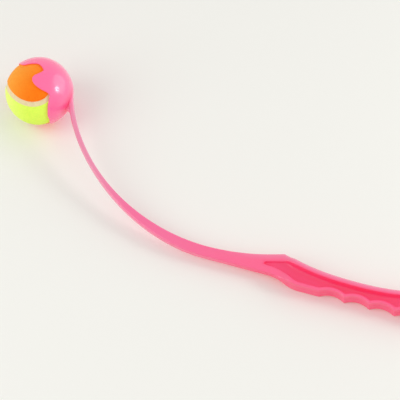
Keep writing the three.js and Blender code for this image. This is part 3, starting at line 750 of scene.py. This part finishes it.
class Cup:
    """The cup, in directions of its own.

    X points to the far side from the arm, Y across the arm and Z along the mouth.
    """

    def __init__(self, outline):
        self.outline, self.cup = outline, outline.cup
        c, s = math.cos(self.cup.mouth_angle), math.sin(self.cup.mouth_angle)
        self.turn = Matrix(((s, 0, c), (-c, 0, s), (0, 1, 0)))
        self.edge = self.even_edge()

    def direction(self, turn, polar):
        """A unit vector: turn is counted from the far side, polar from the mouth's axis."""
        flat = math.sin(polar)
        return Vector((flat * math.cos(turn), flat * math.sin(turn), math.cos(polar)))

    def even_edge(self):
        """Turn and polar angle of the rim at CUP_STEPS places, even along its length."""
        knots = [Vector((turn * math.pi, math.pi / 2 - reach * self.cup.notch_angle))
                 for turn, reach in CLAW_EDGE_SHARES]
        before, after = knots[1] * Vector((-1, 1)), Vector((FULL_TURN - knots[-2].x, knots[-2].y))
        path = [before, *knots, after]
        points = []
        for a, b, c, d in zip(path, path[1:], path[2:], path[3:]):
            for t in steps(0, 1, EDGE_SAMPLES):
                points.append(0.5 * (2 * b + (c - a) * t + (2 * a - 5 * b + 4 * c - d) * t ** 2
                                     + (3 * b - a - 3 * c + d) * t ** 3))
        points.append(knots[-1])
        reach = [0]
        for p, q in zip(points, points[1:]):
            reach.append(reach[-1] + (self.direction(*q) - self.direction(*p)).length)
        half, found = [], 0
        for along in [*steps(0, reach[-1], CUP_STEPS // 2), reach[-1]]:
            while found + 2 < len(reach) and reach[found + 1] < along:
                found += 1
            gap = reach[found + 1] - reach[found]
            half.append(points[found].lerp(points[found + 1], min(1, (along - reach[found]) / gap)))
        return half + [Vector((-knot.x, knot.y)) for knot in reversed(half[1:-1])]

    def profile(self):
        """The outside and the inside of the wall's cut: shares of the way to the rim, and radii."""
        outside, inside = ([math.sin(part * math.pi / 2) for part in steps(0, 1, number)]
                           for number in (OUTER_ROWS, INNER_ROWS))
        taper = self.cup.rim_taper
        outer = [(part, self.outline.cup_outer - taper * smooth(part * 2 - 1)) for part in outside]
        return outer, [(part, self.outline.cup_inner) for part in inside]

    def nose(self):
        """The rim's rounded nose as steps back from the edge and out from the wall's middle."""
        radius, half = self.cup.rim_radius, (self.cup.wall - self.cup.rim_taper) / 2
        upper = arc((radius, half - radius), radius, 1, 2, CORNER_STEPS)
        lower = arc((radius, radius - half), radius, 2, 3, CORNER_STEPS)
        return [*upper, *lower, (radius, -half)]

    def mesh(self):
        """The wall's cut spun about the mouth's axis, then drawn to the claws' edge.

        Each row has its share of the way to the rim, its radius and, on the nose, its step there.
        """
        bm = bmesh.new()
        row_of = bm.verts.layers.int.new("row")
        outer, inner = self.profile()
        nose = self.nose()
        middle = (self.outline.cup_inner + self.outline.cup_outer - self.cup.rim_taper) / 2
        rows = [(part, radius, None) for part, radius in outer]
        rows += [(1, middle, step) for step in nose]
        rows += [(part, radius, None) for part, radius in reversed(inner)]
        line = []
        for index, (part, radius, step) in enumerate(rows):
            lift, split = (0, 0) if step is None else (step[1], ROW_SPLIT * index)
            polar = math.pi - part * CUP_BACK - split
            vertex = bm.verts.new(self.direction(0, polar) * (radius + lift))
            vertex[row_of] = index
            line.append(vertex)
        spin_line(bm, line, CUP_STEPS)
        for vertex in bm.verts:
            turn = math.atan2(vertex.co.y, vertex.co.x)
            index = round(turn / FULL_TURN * CUP_STEPS) % CUP_STEPS
            part, radius, step = rows[vertex[row_of]]
            vertex.co = self.placed(index, part, radius, step)
        bm.verts.layers.int.remove(row_of)
        bmesh.ops.remove_doubles(bm, verts=bm.verts, dist=TOUCH)
        bmesh.ops.transform(bm, matrix=self.turn.to_4x4(), verts=bm.verts)
        bmesh.ops.recalc_face_normals(bm, faces=bm.faces)
        return bm

    def placed(self, index, part, radius, step):
        """Where a vertex of the spun wall goes, from its turn and its place in the wall's cut."""
        before, edge, after = (self.direction(*self.edge[(index + off) % CUP_STEPS]) for off in (-1, 0, 1))
        inward = (after - before).normalized().cross(edge).normalized()
        if not (inward.z < 0 or abs(inward.z) < LEVEL_SHARE and inward.dot(edge) < 0):
            inward = -inward
        back, lift = (self.cup.rim_radius, 0) if step is None else step
        start = edge * math.cos(back / radius) + inward * math.sin(back / radius)
        if step is not None:
            return start * (radius + lift)
        even = FULL_TURN * index / CUP_STEPS
        even = even - FULL_TURN if index > CUP_STEPS / 2 else even
        rim_turn = math.atan2(start.y, start.x)
        rim_turn += FULL_TURN * round((even - rim_turn) / FULL_TURN)
        rim_polar = math.acos(max(-1, min(1, start.z)))
        pull = part ** CLAW_PULL
        turn = mix(even, rim_turn, pull)
        polar = math.pi - part * CUP_BACK + pull * (rim_polar - (math.pi - CUP_BACK))
        return self.direction(turn, polar) * radius


ROOT_SAMPLES = 40
ROOT_SPACING = 4  # every so many of those samples is a corner of the web
FREE_EDGE_STEPS = 10
WALL_SIDE_STEPS = 16
WEB_EDGE_SEGMENTS = 4


def web_mesh(outline):
    """The thin web in the corner of the cup and the arm, with a rounded free edge."""
    arm, cup = outline.arm, outline.cup
    buried = (outline.cup_inner + outline.cup_outer) / 2
    along = [outline.arm_point(part) for part in steps(0, arm.web_end, ROOT_SAMPLES)]
    along = [point for point in along if point.length > buried][::ROOT_SPACING]
    along.append(outline.arm_point(arm.web_end))
    foot_angle = cup.mouth_angle + math.pi / 2 + arm.web_foot_angle
    foot = Vector((math.cos(foot_angle), math.sin(foot_angle), 0)) * buried
    corner = along[0].normalized() * buried
    inward = (corner - (along[-1] + foot) / 2).normalized()
    free = [along[-1].lerp(foot, part) + inward * arm.web_hollow * 4 * part * (1 - part)
            for part in steps(0, 1, FREE_EDGE_STEPS)[1:]]
    last_angle = math.atan2(along[0].y, along[0].x)
    wall = [Vector((math.cos(turn), math.sin(turn), 0)) * buried
            for turn in steps(foot_angle, last_angle, WALL_SIDE_STEPS)]
    bm = bmesh.new()
    down = Vector((0, 0, -arm.web / 2))
    vertices = [bm.verts.new(point + down) for point in [*along, *free, *wall]]
    face = bm.faces.new(vertices)
    lifted = bmesh.ops.extrude_face_region(bm, geom=[face], use_keep_orig=True)["geom"]
    tops = [item for item in lifted if isinstance(item, bmesh.types.BMVert)]
    bmesh.ops.translate(bm, vec=(0, 0, arm.web), verts=tops)

    def flat_place(vertex):
        return round(vertex.co.x, TOUCH_DIGITS), round(vertex.co.y, TOUCH_DIGITS)

    free_places = {flat_place(vertex) for vertex in vertices[len(along) - 1:len(along) + len(free) + 1]}

    def is_free(edge):
        """Whether an edge runs along the web's free side, above or below."""
        level = abs(edge.verts[0].co.z - edge.verts[1].co.z) < TOUCH
        return level and all(flat_place(vertex) in free_places for vertex in edge.verts)

    bmesh.ops.recalc_face_normals(bm, faces=bm.faces)
    bmesh.ops.bevel(bm, geom=[edge for edge in bm.edges if is_free(edge)], offset=arm.web_edge,
                    offset_type="OFFSET", affect="EDGES", segments=WEB_EDGE_SEGMENTS, profile=0.5,
                    material=-1)
    close_up(bm)
    return bm


MARK_STEPS = 64
NUB_SHARE = 0.2  # radius of the trimmed gate, as a share of the dish's


def gate_mark_mesh(outline, cup_shape):
    """The cutter of a shallow round dish with the trimmed gate standing in its middle."""
    cup = outline.cup
    radius, depth = cup.mark_radius, cup.mark_depth
    soft = depth / 2
    nub = radius * NUB_SHARE
    top = nub * 0.8
    cut = [
        (0, -depth / 2), (top, -depth / 2), *arc((top, -depth / 2 - soft / 4), soft / 4, 1, 0, 3),
        *arc((nub + soft, -depth + soft / 2), soft / 2, 2, 3, 4),
        *arc((radius - soft * 1.5, -depth + soft), soft, 3, 4, 5),
        (radius, 0), (radius + soft, depth), (0, depth),
    ]
    bm = bmesh.new()
    spin_line(bm, [bm.verts.new((out, 0, rise)) for out, rise in cut], MARK_STEPS)
    close_up(bm)
    outward = cup_shape.turn @ cup_shape.direction(cup.mark_turn, math.pi / 2 + cup.mark_setback)
    level = math.sqrt(outline.cup_outer ** 2 - radius ** 2)
    place = Matrix.Translation(outward * level) @ outward.to_track_quat("Z", "Y").to_matrix().to_4x4()
    bmesh.ops.transform(bm, matrix=place, verts=bm.verts)
    return bm


def joined(base, others):
    """The mesh of a piece after exact joins and cuts with others, which are used up."""
    for other, operation in others:
        modifier = base.modifiers.new(other.name, "BOOLEAN")
        modifier.object, modifier.operation, modifier.solver = other, operation, "EXACT"
    graph = bpy.context.evaluated_depsgraph_get()
    mesh = bpy.data.meshes.new_from_object(base.evaluated_get(graph))
    bm = bmesh.new()
    bm.from_mesh(mesh)
    for used in [base, *(other for other, _ in others)]:
        bpy.data.meshes.remove(used.data)
    bpy.data.meshes.remove(mesh)
    return bm


# Ball
PANEL_ROWS = 150
PANEL_COLUMNS = 56
SEAM_STEPS = 360
SEAM_TOP_STEPS = 8
TANGENT_STEP = 1e-4
TINY_WIDTH = 1e-4  # a panel's width, as an angle, below which its row is one point
FELT_LUMPS = ((9, 1), (23, 0.7), (61, 0.5))  # how close the felt's lumps are, and how high
SEAM_LUMPS = 31
SEAM_LUMP_SHARE = 1 / 3
FIBRE_BATCH = 100
FIBRE_SEED = 7
SHORTEST_FIBRE = 0.4  # as a share of the longest
FIBRE_LEAN = (55, 84)  # degrees from upright


class Ball:
    """The ball's seam and panels, on directions from its middle in its own turn."""

    def __init__(self, sizes):
        self.sizes = sizes
        x, y, z = sizes.turn
        self.turn = Matrix.Rotation(x, 4, "X") @ Matrix.Rotation(y, 4, "Y") @ Matrix.Rotation(z, 4, "Z")

    def seam_point(self, t):
        """A point of the wave round the ball that parts two like panels."""
        a, b = 1 - self.sizes.seam_wave, self.sizes.seam_wave
        return Vector((
            a * math.cos(t) + b * math.cos(3 * t),
            a * math.sin(t) - b * math.sin(3 * t),
            2 * math.sqrt(a * b) * math.sin(2 * t),
        ))

    def beside_seam(self, t, off):
        """The seam's point moved sideways over the ball, towards the first panel if off is positive."""
        along = self.seam_point(t + TANGENT_STEP) - self.seam_point(t - TANGENT_STEP)
        point = self.seam_point(t)
        across = point.cross(along).normalized()
        turn = off / self.sizes.radius
        return point * math.cos(turn) + across * math.sin(turn)

    def panel_direction(self, part_along, part_across):
        """A direction on the first panel, and how far it lies from the panel's edge."""
        t = mix(-math.pi / 4, 3 * math.pi / 4, part_along)
        off = self.sizes.seam_width / 2
        start, end = self.beside_seam(t, off), self.beside_seam(1.5 * math.pi - t, off)
        width = start.angle(end, 0)
        direction = start if width < TINY_WIDTH else start.slerp(end, part_across)
        return direction, min(part_across, 1 - part_across) * width * self.sizes.radius

    def felt_height(self, direction, inset):
        """Radius of the felt: soft lumps all over, and a rounded edge beside the seam."""
        sizes = self.sizes
        lumps = sum(height * noise.noise(direction * number) for number, height in FELT_LUMPS)
        radius = sizes.radius - sizes.felt_lump / 2 + sizes.felt_lump / 2 * lumps
        left = max(0, sizes.felt_edge - inset)
        return radius - sizes.felt_edge + math.sqrt(sizes.felt_edge ** 2 - left ** 2)

    def panel_mesh(self):
        """The first panel, from a grid whose rows run across it, with its thickness."""
        bm = bmesh.new()
        bmesh.ops.create_grid(bm, x_segments=PANEL_COLUMNS, y_segments=PANEL_ROWS, size=0.5)
        for vertex in bm.verts:
            along = vertex.co.y + 0.5
            across = (1 - math.cos((vertex.co.x + 0.5) * math.pi)) / 2
            direction, inset = self.panel_direction(along, across)
            vertex.co = direction * self.felt_height(direction, inset)
        bmesh.ops.remove_doubles(bm, verts=bm.verts, dist=TOUCH)
        lowered = bmesh.ops.extrude_face_region(bm, geom=bm.faces[:], use_keep_orig=True)["geom"]
        for item in lowered:
            if isinstance(item, bmesh.types.BMVert):
                item.co = item.co.normalized() * (self.sizes.radius - self.sizes.felt)
        bmesh.ops.recalc_face_normals(bm, faces=bm.faces)
        return bm

    def seam_cut(self):
        """The seam's cut: steps sideways and radii, up one side, over its hollow top and down the other."""
        sizes = self.sizes
        half, floor = sizes.seam_width / 2 + sizes.seam_overlap, sizes.radius - sizes.felt
        top = []
        for part in [*steps(-1, 1, SEAM_TOP_STEPS), 1]:
            top.append((half * part, sizes.radius - sizes.seam_recess + sizes.seam_lip * abs(part) ** 3 / 2))
        return [(-half, floor), *top, (half, floor)]

    def seam_mesh(self):
        """A strip round the ball, whose cut closes on itself."""
        cut = self.seam_cut()
        bm = bmesh.new()
        bmesh.ops.create_grid(bm, x_segments=len(cut), y_segments=SEAM_STEPS, size=0.5)
        for vertex in bm.verts:
            off, radius = cut[round((vertex.co.x + 0.5) * len(cut)) % len(cut)]
            t = FULL_TURN * (round((vertex.co.y + 0.5) * SEAM_STEPS) % SEAM_STEPS) / SEAM_STEPS
            direction = self.beside_seam(t, off)
            rough = noise.noise(direction * SEAM_LUMPS) * self.sizes.felt_lump * SEAM_LUMP_SHARE
            vertex.co = direction * (radius + rough)
        close_up(bm)
        return bm

    def fibre_mesh(self, chance):
        """Loose fibres that lean over the first panel, made in batches."""
        bm, batch = bmesh.new(), bpy.data.meshes.new("batch")
        for start in range(0, self.sizes.fibres, FIBRE_BATCH):
            small = bmesh.new()
            for _ in range(min(FIBRE_BATCH, self.sizes.fibres - start)):
                self.fibre(small, chance)
            small.to_mesh(batch)
            small.free()
            bm.from_mesh(batch)
        bpy.data.meshes.remove(batch)
        return bm

    def fibre(self, bm, chance):
        """One slender cone that leans in a random direction."""
        sizes = self.sizes
        along, across = chance.random(), (1 - math.cos(chance.random() * math.pi)) / 2
        direction, inset = self.panel_direction(along, across)
        long = sizes.fibre_length * mix(SHORTEST_FIBRE, 1, chance.random())
        lean = math.radians(mix(*FIBRE_LEAN, chance.random()))
        foot = direction * (self.felt_height(direction, inset) - sizes.fibre_radius)
        aim = direction.to_track_quat("Z", "Y").to_matrix().to_4x4()
        spin = Matrix.Rotation(chance.random() * FULL_TURN, 4, "Z") @ Matrix.Rotation(lean, 4, "X")
        stand = Matrix.Translation((0, 0, long / 2))
        bmesh.ops.create_cone(bm, cap_ends=False, segments=3, radius1=sizes.fibre_radius, radius2=0,
                              depth=long, matrix=Matrix.Translation(foot) @ aim @ spin @ stand)


# Materials
class Value:
    """A socket of a material. Python's arithmetic on it adds Math nodes."""

    def __init__(self, look, socket):
        self.look, self.socket = look, socket

    def maths(self, operation, first, second=0.0):
        return self.look.node("Math", {"operation": operation}, {0: first, 1: second})

    def __add__(self, other):
        return self.maths("ADD", self, other)

    def __rsub__(self, other):
        return self.maths("SUBTRACT", other, self)

    def __mul__(self, other):
        return self.maths("MULTIPLY", self, other)

    __radd__ = __add__
    __rmul__ = __mul__


class Look:
    """The nodes of a procedural material, or of the world."""

    def __init__(self, owner):
        self.owner = owner
        owner.use_nodes = True
        self.tree = owner.node_tree
        self.tree.nodes.clear()

    def node(self, kind, settings, sockets, output=0):
        """A node with its settings made first, then its sockets filled with values or links."""
        made = self.tree.nodes.new("ShaderNode" + kind)
        for name, setting in settings.items():
            setattr(made, name, setting)
        for name, value in sockets.items():
            if isinstance(value, Value):
                self.tree.links.new(value.socket, made.inputs[name])
            else:
                made.inputs[name].default_value = value
        return Value(self, made.outputs[output])

    def place(self):
        return self.node("TexCoord", {}, {}, "Object")

    def noise(self, scale, detail, roughness=0.5, distortion=0.0):
        """Soft noise from 0 to 1 with so many features to a metre."""
        return self.node("TexNoise", {}, {
            "Vector": self.place(), "Scale": scale, "Detail": detail, "Roughness": roughness,
            "Distortion": distortion,
        }, "Fac")

    def between(self, value, low, high):
        """0 where the value is low, 1 where it is high, and smooth in between."""
        settings = {"interpolation_type": "SMOOTHSTEP"}
        return self.node("MapRange", settings, {"Value": value, "From Min": low, "From Max": high})

    def blend(self, factor, first, second, kind="MIX"):
        """One colour changed into another by a factor."""
        sockets = {0: factor}
        for name, tint in ((6, first), (7, second)):
            sockets[name] = tint if isinstance(tint, Value) else (*tint, 1)
        return self.node("Mix", {"data_type": "RGBA", "blend_type": kind}, sockets, 2)

    def bump(self, height, distance, strength):
        return self.node("Bump", {}, {"Height": height, "Distance": distance, "Strength": strength}, "Normal")

    def end(self, kind, shader):
        """Joins the last shader to the output node of a material or of the world."""
        output = self.tree.nodes.new("ShaderNodeOutput" + kind)
        self.tree.links.new(shader.socket, output.inputs["Surface"])

    def finish(self, sockets):
        """Ends the material in a Principled shader."""
        self.end("Material", self.node("BsdfPrincipled", {}, sockets, "BSDF"))
        return self.owner


def new_look(name):
    """The look of a new material."""
    return Look(bpy.data.materials.new(name))


def darker(tint, level):
    """A colour at a lower level of light."""
    return tuple(channel * level for channel in tint)


def along_launcher(look, matrix, start, end):
    """0 at one place along the swing plane's X and 1 at another."""
    forward = matrix.to_3x3() @ Vector((1, 0, 0))
    origin = matrix.translation.dot(forward)
    along = look.node("VectorMath", {"operation": "DOT_PRODUCT"}, {0: look.place(), 1: forward}, "Value")
    return look.between(along, origin + start, origin + end)


THIN_BAND = (0.8, 1.3)  # where the cup's colour changes to the paler one at the arm's start, which is painted reflection, in cup radii
ARM_BAND = (2.4, 4.6)  # where that changes to the arm's, in cup radii
GRIP_START = 0.55  # where that starts to change to the grip's darker colour, which is painted shade, on the way to the handle's corner


def plastic_look(settings, matrix):
    """Satin moulded plastic, a little translucent. Its colour carries painted light and shade: cooler at the cup
    and warmer and darker at the grip.
    """
    look = new_look("pink_plastic")
    colours, reach, corner = settings.colours, Outline(settings).cup_outer, settings.handle.corner_x
    # Painted light and shade: the colour shifts along the launcher from the cup to the grip
    tint = colours.plastic_cup
    for start, end, next_tint in (
        (reach * THIN_BAND[0], reach * THIN_BAND[1], colours.plastic_painted_reflection),
        (reach * ARM_BAND[0], reach * ARM_BAND[1], colours.plastic),
        (corner * GRIP_START, corner, colours.plastic_grip_painted_shade),
    ):
        tint = look.blend(along_launcher(look, matrix, start, end), tint, next_tint)
    mark = look.node("Attribute", {"attribute_name": PAINTED_LIGHT_MARK}, {}, "Fac")
    # Painted shade: a deeper colour, and a thinner coat, where the mark is over 0
    deep = mark.maths("MAXIMUM", mark)
    # Painted reflection: paler where the mark is under 0
    tint = look.blend(mark * -1, tint, colours.plastic_painted_reflection)
    tint = look.blend(deep, tint, colours.plastic_painted_shade)
    clouds = look.noise(scale=38, detail=2.0)
    tint = look.blend(clouds * 0.1, tint, darker(colours.plastic, 0.82))
    grain = look.noise(scale=2600, detail=2.0)
    flow = look.noise(scale=120, detail=3.0)
    normal = look.bump(grain * 0.5 + flow, distance=0.04 * MM, strength=0.6)
    return look.finish({
        "Base Color": tint, "Roughness": 0.28 + grain * 0.08 + flow * 0.08, "Normal": normal, "IOR": 1.49,
        "Subsurface Weight": 0.12, "Subsurface Radius": (1.0, 0.35, 0.45), "Subsurface Scale": 0.0015,
        "Coat Weight": 1 - deep * 0.85, "Coat Roughness": 0.16, "Coat IOR": 1.6,
        # Painted glow: a constant red emission
        "Emission Color": (*colours.plastic_painted_glow, 1), "Emission Strength": 1.0,
    })


SHADED_SHARE = 0.4  # how far behind the ball's middle the felt has its deeper colour, painted shade by the cup


def felt_look(name, matrix, reach, free, shaded, glow):
    """Brushed felt: matted fibres with lighter tips and darker hollows, and a painted glow in its own colour.

    Its colour changes from the free side of the ball to a deeper one on the side by the claws, which is painted
    shade.
    """
    look = new_look(name)
    tint = look.blend(along_launcher(look, matrix, -reach, reach * SHADED_SHARE), free, shaded)
    mat = look.noise(scale=420, detail=6.0, roughness=0.65)
    strands = look.noise(scale=1500, detail=4.0, roughness=0.7, distortion=1.6)
    patches = look.noise(scale=90, detail=2.0)
    mask = look.between(mat * 0.6 + strands * 0.4, 0.36, 0.6)
    fibre = look.blend(1.0, look.blend(mask, darker((1, 1, 1), 0.84), (1, 1, 1)), tint, "MULTIPLY")
    normal = look.bump(mat + strands * 0.6, distance=0.35 * MM, strength=0.8)
    # The emission is a painted glow that brightens the felt
    return look.finish({
        "Base Color": look.blend(patches * 0.35, fibre, tint), "Roughness": 0.95, "Normal": normal,
        "Sheen Weight": 0.08, "Sheen Roughness": 0.6, "Specular IOR Level": 0.05,
        "Emission Color": tint, "Emission Strength": glow,
    })


def cement_look(tint):
    """Matt rubber cement with a faint drag along it."""
    look = new_look("cream_cement")
    streaks = look.noise(scale=260, detail=4.0, roughness=0.6)
    specks = look.noise(scale=1800, detail=2.0)
    return look.finish({
        "Base Color": look.blend(look.between(streaks, 0.35, 0.7), darker(tint, 0.9), tint),
        "Roughness": 0.6 + specks * 0.2,
        "Normal": look.bump(streaks + specks * 0.3, distance=0.2 * MM, strength=0.7),
    })


def rubber_look(tint):
    """Pressed rubber of the hollow core."""
    look = new_look("grey_rubber")
    cloud = look.noise(scale=140, detail=4.0)
    fine = look.noise(scale=2200, detail=2.0)
    return look.finish({
        "Base Color": look.blend(cloud, darker(tint, 0.8), tint), "Roughness": 0.7 + fine * 0.15,
        "Normal": look.bump(fine, distance=0.08 * MM, strength=0.5),
    })


def floor_look(tint):
    """A pale matt floor."""
    look = new_look("floor")
    paper = look.noise(scale=700, detail=2.0)
    return look.finish({
        "Base Color": look.blend(paper * 0.02, tint, darker(tint, 0.9)),
        "Roughness": 0.9, "Specular IOR Level": 0.1,
    })


# Operators
def settled(piece, body, slot, *nodes):
    """Hands a finished piece to the frame."""
    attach(piece, body)
    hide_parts(*nodes)


class LAUNCHER_OT_moulding(bpy.types.Operator):
    """Models the one-piece launcher: cup, arm, web, handle and pockets"""

    bl_idname = "launcher.moulding"
    bl_label = "Launcher Moulding"

    def execute(self, context):
        settings = context.scene.launcher
        outline = Outline(settings)
        matrix = swing_matrix(settings.cup)
        cup_shape = Cup(outline)
        base = new_piece("cup", cup_shape.mesh())
        others = [
            (new_piece("beam", beam_mesh(Beam(outline))), "UNION"),
            (new_piece("web", web_mesh(outline)), "UNION"),
            (new_piece("gate_mark", gate_mark_mesh(outline, cup_shape)), "DIFFERENCE"),
        ]
        bm = joined(base, others)
        mark_painted_light(bm, outline)
        bmesh.ops.transform(bm, matrix=matrix, verts=bm.verts)
        bmesh.ops.remove_doubles(bm, verts=bm.verts, dist=TOUCH)
        piece = new_piece("launcher_shell", bm, plastic_look(settings, matrix))
        settled(piece, "launcher", "pink_plastic", "launcher_moulding")
        return {"FINISHED"}


class LAUNCHER_OT_felt(bpy.types.Operator):
    """Models the two felt panels and their loose fibres"""

    bl_idname = "launcher.felt"
    bl_label = "Felt Panels"

    def execute(self, context):
        settings = context.scene.launcher
        ball = Ball(settings.ball)
        matrix = swing_matrix(settings.cup)
        chance = random.Random(FIBRE_SEED)
        colours = settings.colours
        for name, free, shaded, flip in (
            ("orange", colours.orange, colours.orange_painted_shade, 0),
            ("yellow", colours.yellow, colours.yellow_painted_shade, math.pi),
        ):
            place = matrix @ ball.turn @ Matrix.Rotation(flip, 4, "X")
            look = felt_look(name + "_felt", matrix, settings.ball.radius, free, shaded, colours.felt_painted_glow)
            panel, fibres = ball.panel_mesh(), ball.fibre_mesh(chance)
            for bm in (panel, fibres):
                bmesh.ops.transform(bm, matrix=place, verts=bm.verts)
            settled(new_piece(name + "_panel", panel, look), "ball", name + "_felt", "ball_felt_" + name)
            loose = new_piece(name + "_fibres", fibres, look)
            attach(loose, "ball")
        return {"FINISHED"}


class LAUNCHER_OT_seam(bpy.types.Operator):
    """Models the cement seam between the felt panels"""

    bl_idname = "launcher.seam"
    bl_label = "Cement Seam"

    def execute(self, context):
        settings = context.scene.launcher
        ball = Ball(settings.ball)
        bm = ball.seam_mesh()
        bmesh.ops.transform(bm, matrix=swing_matrix(settings.cup) @ ball.turn, verts=bm.verts)
        piece = new_piece("cement_seam", bm, cement_look(tuple(settings.colours.cement)))
        settled(piece, "ball", "cream_cement", "ball_seam")
        return {"FINISHED"}


class LAUNCHER_OT_core(bpy.types.Operator):
    """Finishes the two halves of the rubber core"""

    bl_idname = "launcher.core"
    bl_label = "Rubber Core"

    def execute(self, context):
        look = rubber_look(tuple(context.scene.launcher.colours.rubber))
        for name in ("ball_core_half_a", "ball_core_half_b"):
            mesh = frame["nodes"][name].data
            mesh.materials.clear()
            mesh.materials.append(look)
        return {"FINISHED"}


FLOOR_SIZE = 8.0
SKY_COLOUR = (1.0, 0.99, 0.975, 1)
SKY_STRENGTH = 0.68
# Each lamp's name, place, size across and power; all shine at the launcher
LAMPS = (
    ("key", (1.34, 0.56, 0.71), 0.42, 4.5),
    ("window", (1.25, 1.35, 0.65), 2.0, 12.0),
    ("front", (-0.75, -0.95, 0.95), 1.2, 6.2),
)
FRAME_PIXELS = 400
SENSOR_WIDTH = 36.0
LENS = 163.6
CAMERA_DISTANCE = 1.8
CAMERA_AZIMUTH = math.radians(31.92)
CAMERA_ELEVATION = math.radians(53.69)
CAMERA_ROLL = math.radians(0.29)
BALL_PIXEL = (38.3, 92.0)


class LAUNCHER_OT_stage(bpy.types.Operator):
    """Sets the floor, the light and the camera"""

    bl_idname = "launcher.stage"
    bl_label = "Stage"

    def execute(self, context):
        settings = context.scene.launcher
        self.floor(settings.colours.ground)
        self.world(context.scene, settings.colours.ground)
        self.lamps(context.scene)
        self.camera(context.scene)
        context.scene.view_settings.view_transform = "Standard"
        return {"FINISHED"}

    def floor(self, tint):
        bm = bmesh.new()
        bmesh.ops.create_grid(bm, x_segments=1, y_segments=1, size=FLOOR_SIZE / 2)
        new_piece("floor", bm, floor_look(tuple(tint)))

    def world(self, scene, tint):
        """Soft light from all round, and the ground's colour where the eye sees past the floor."""
        scene.world = bpy.data.worlds.new("world")
        look = Look(scene.world)
        light = look.node("Background", {}, {"Color": SKY_COLOUR, "Strength": SKY_STRENGTH})
        seen = look.node("Background", {}, {"Color": (*tint, 1)})
        straight, mirrored = (
            look.node("LightPath", {}, {}, ray) for ray in ("Is Camera Ray", "Is Glossy Ray"))
        either = look.node("Math", {"operation": "MAXIMUM"}, {0: straight, 1: mirrored})
        look.end("World", look.node("MixShader", {}, {0: either, 1: light, 2: seen}))

    def lamps(self, scene):
        for name, place, size, power in LAMPS:
            lamp = bpy.data.lights.new(name, "AREA")
            lamp.shape, lamp.size, lamp.energy = "DISK", size, power
            lamp_object = bpy.data.objects.new(name, lamp)
            lamp_object.location = place
            lamp_object.rotation_euler = Vector(place).to_track_quat("Z", "Y").to_euler()
            scene.collection.objects.link(lamp_object)

    def camera(self, scene):
        """A long lens that puts the ball's middle at its place in the picture."""
        flat = math.cos(CAMERA_ELEVATION)
        back = Vector((flat * math.sin(CAMERA_AZIMUTH), -flat * math.cos(CAMERA_AZIMUTH),
                       math.sin(CAMERA_ELEVATION)))
        turn = back.to_track_quat("Z", "Y").to_matrix() @ Matrix.Rotation(CAMERA_ROLL, 3, "Z")
        right, up = turn.col[0], turn.col[1]
        metres = CAMERA_DISTANCE * SENSOR_WIDTH / LENS / FRAME_PIXELS
        right_of_middle = (BALL_PIXEL[0] - FRAME_PIXELS / 2) * metres
        over_middle = (FRAME_PIXELS / 2 - BALL_PIXEL[1]) * metres
        lens = bpy.data.cameras.new("camera")
        lens.lens, lens.sensor_width = LENS, SENSOR_WIDTH
        camera = bpy.data.objects.new("camera", lens)
        place = ball_middle() + back * CAMERA_DISTANCE - right * right_of_middle - up * over_middle
        camera.matrix_world = Matrix.Translation(place) @ turn.to_4x4()
        scene.collection.objects.link(camera)
        scene.camera = camera


class LAUNCHER_PT_panel(bpy.types.Panel):
    """Lists the steps that make the launcher"""

    bl_idname = "LAUNCHER_PT_panel"
    bl_label = "Ball Launcher"
    bl_space_type = "VIEW_3D"
    bl_region_type = "UI"
    bl_category = "Ball Launcher"

    def draw(self, context):
        settings = context.scene.launcher
        for step in STEPS:
            self.layout.operator(step.bl_idname)
        for group in ("ball", "cup", "arm", "handle", "pocket", "colours"):
            box = self.layout.box()
            sizes = getattr(settings, group)
            for name in sizes.__annotations__:
                box.prop(sizes, name)


STEPS = (LAUNCHER_OT_stage, LAUNCHER_OT_moulding, LAUNCHER_OT_felt, LAUNCHER_OT_seam, LAUNCHER_OT_core)
CLASSES = (
    BallSizes, CupSizes, ArmSizes, HandleSizes, PocketSizes, Colours, LauncherSettings,
    *STEPS, LAUNCHER_PT_panel,
)


def register():
    for each in CLASSES:
        bpy.utils.register_class(each)
    bpy.types.Scene.launcher = PointerProperty(type=LauncherSettings)


def unregister():
    del bpy.types.Scene.launcher
    for each in reversed(CLASSES):
        bpy.utils.unregister_class(each)


def main():
    register()
    bpy.ops.launcher.stage()
    bpy.ops.launcher.moulding()
    bpy.ops.launcher.felt()
    bpy.ops.launcher.seam()
    bpy.ops.launcher.core()


if __name__ == "__main__":
    main()
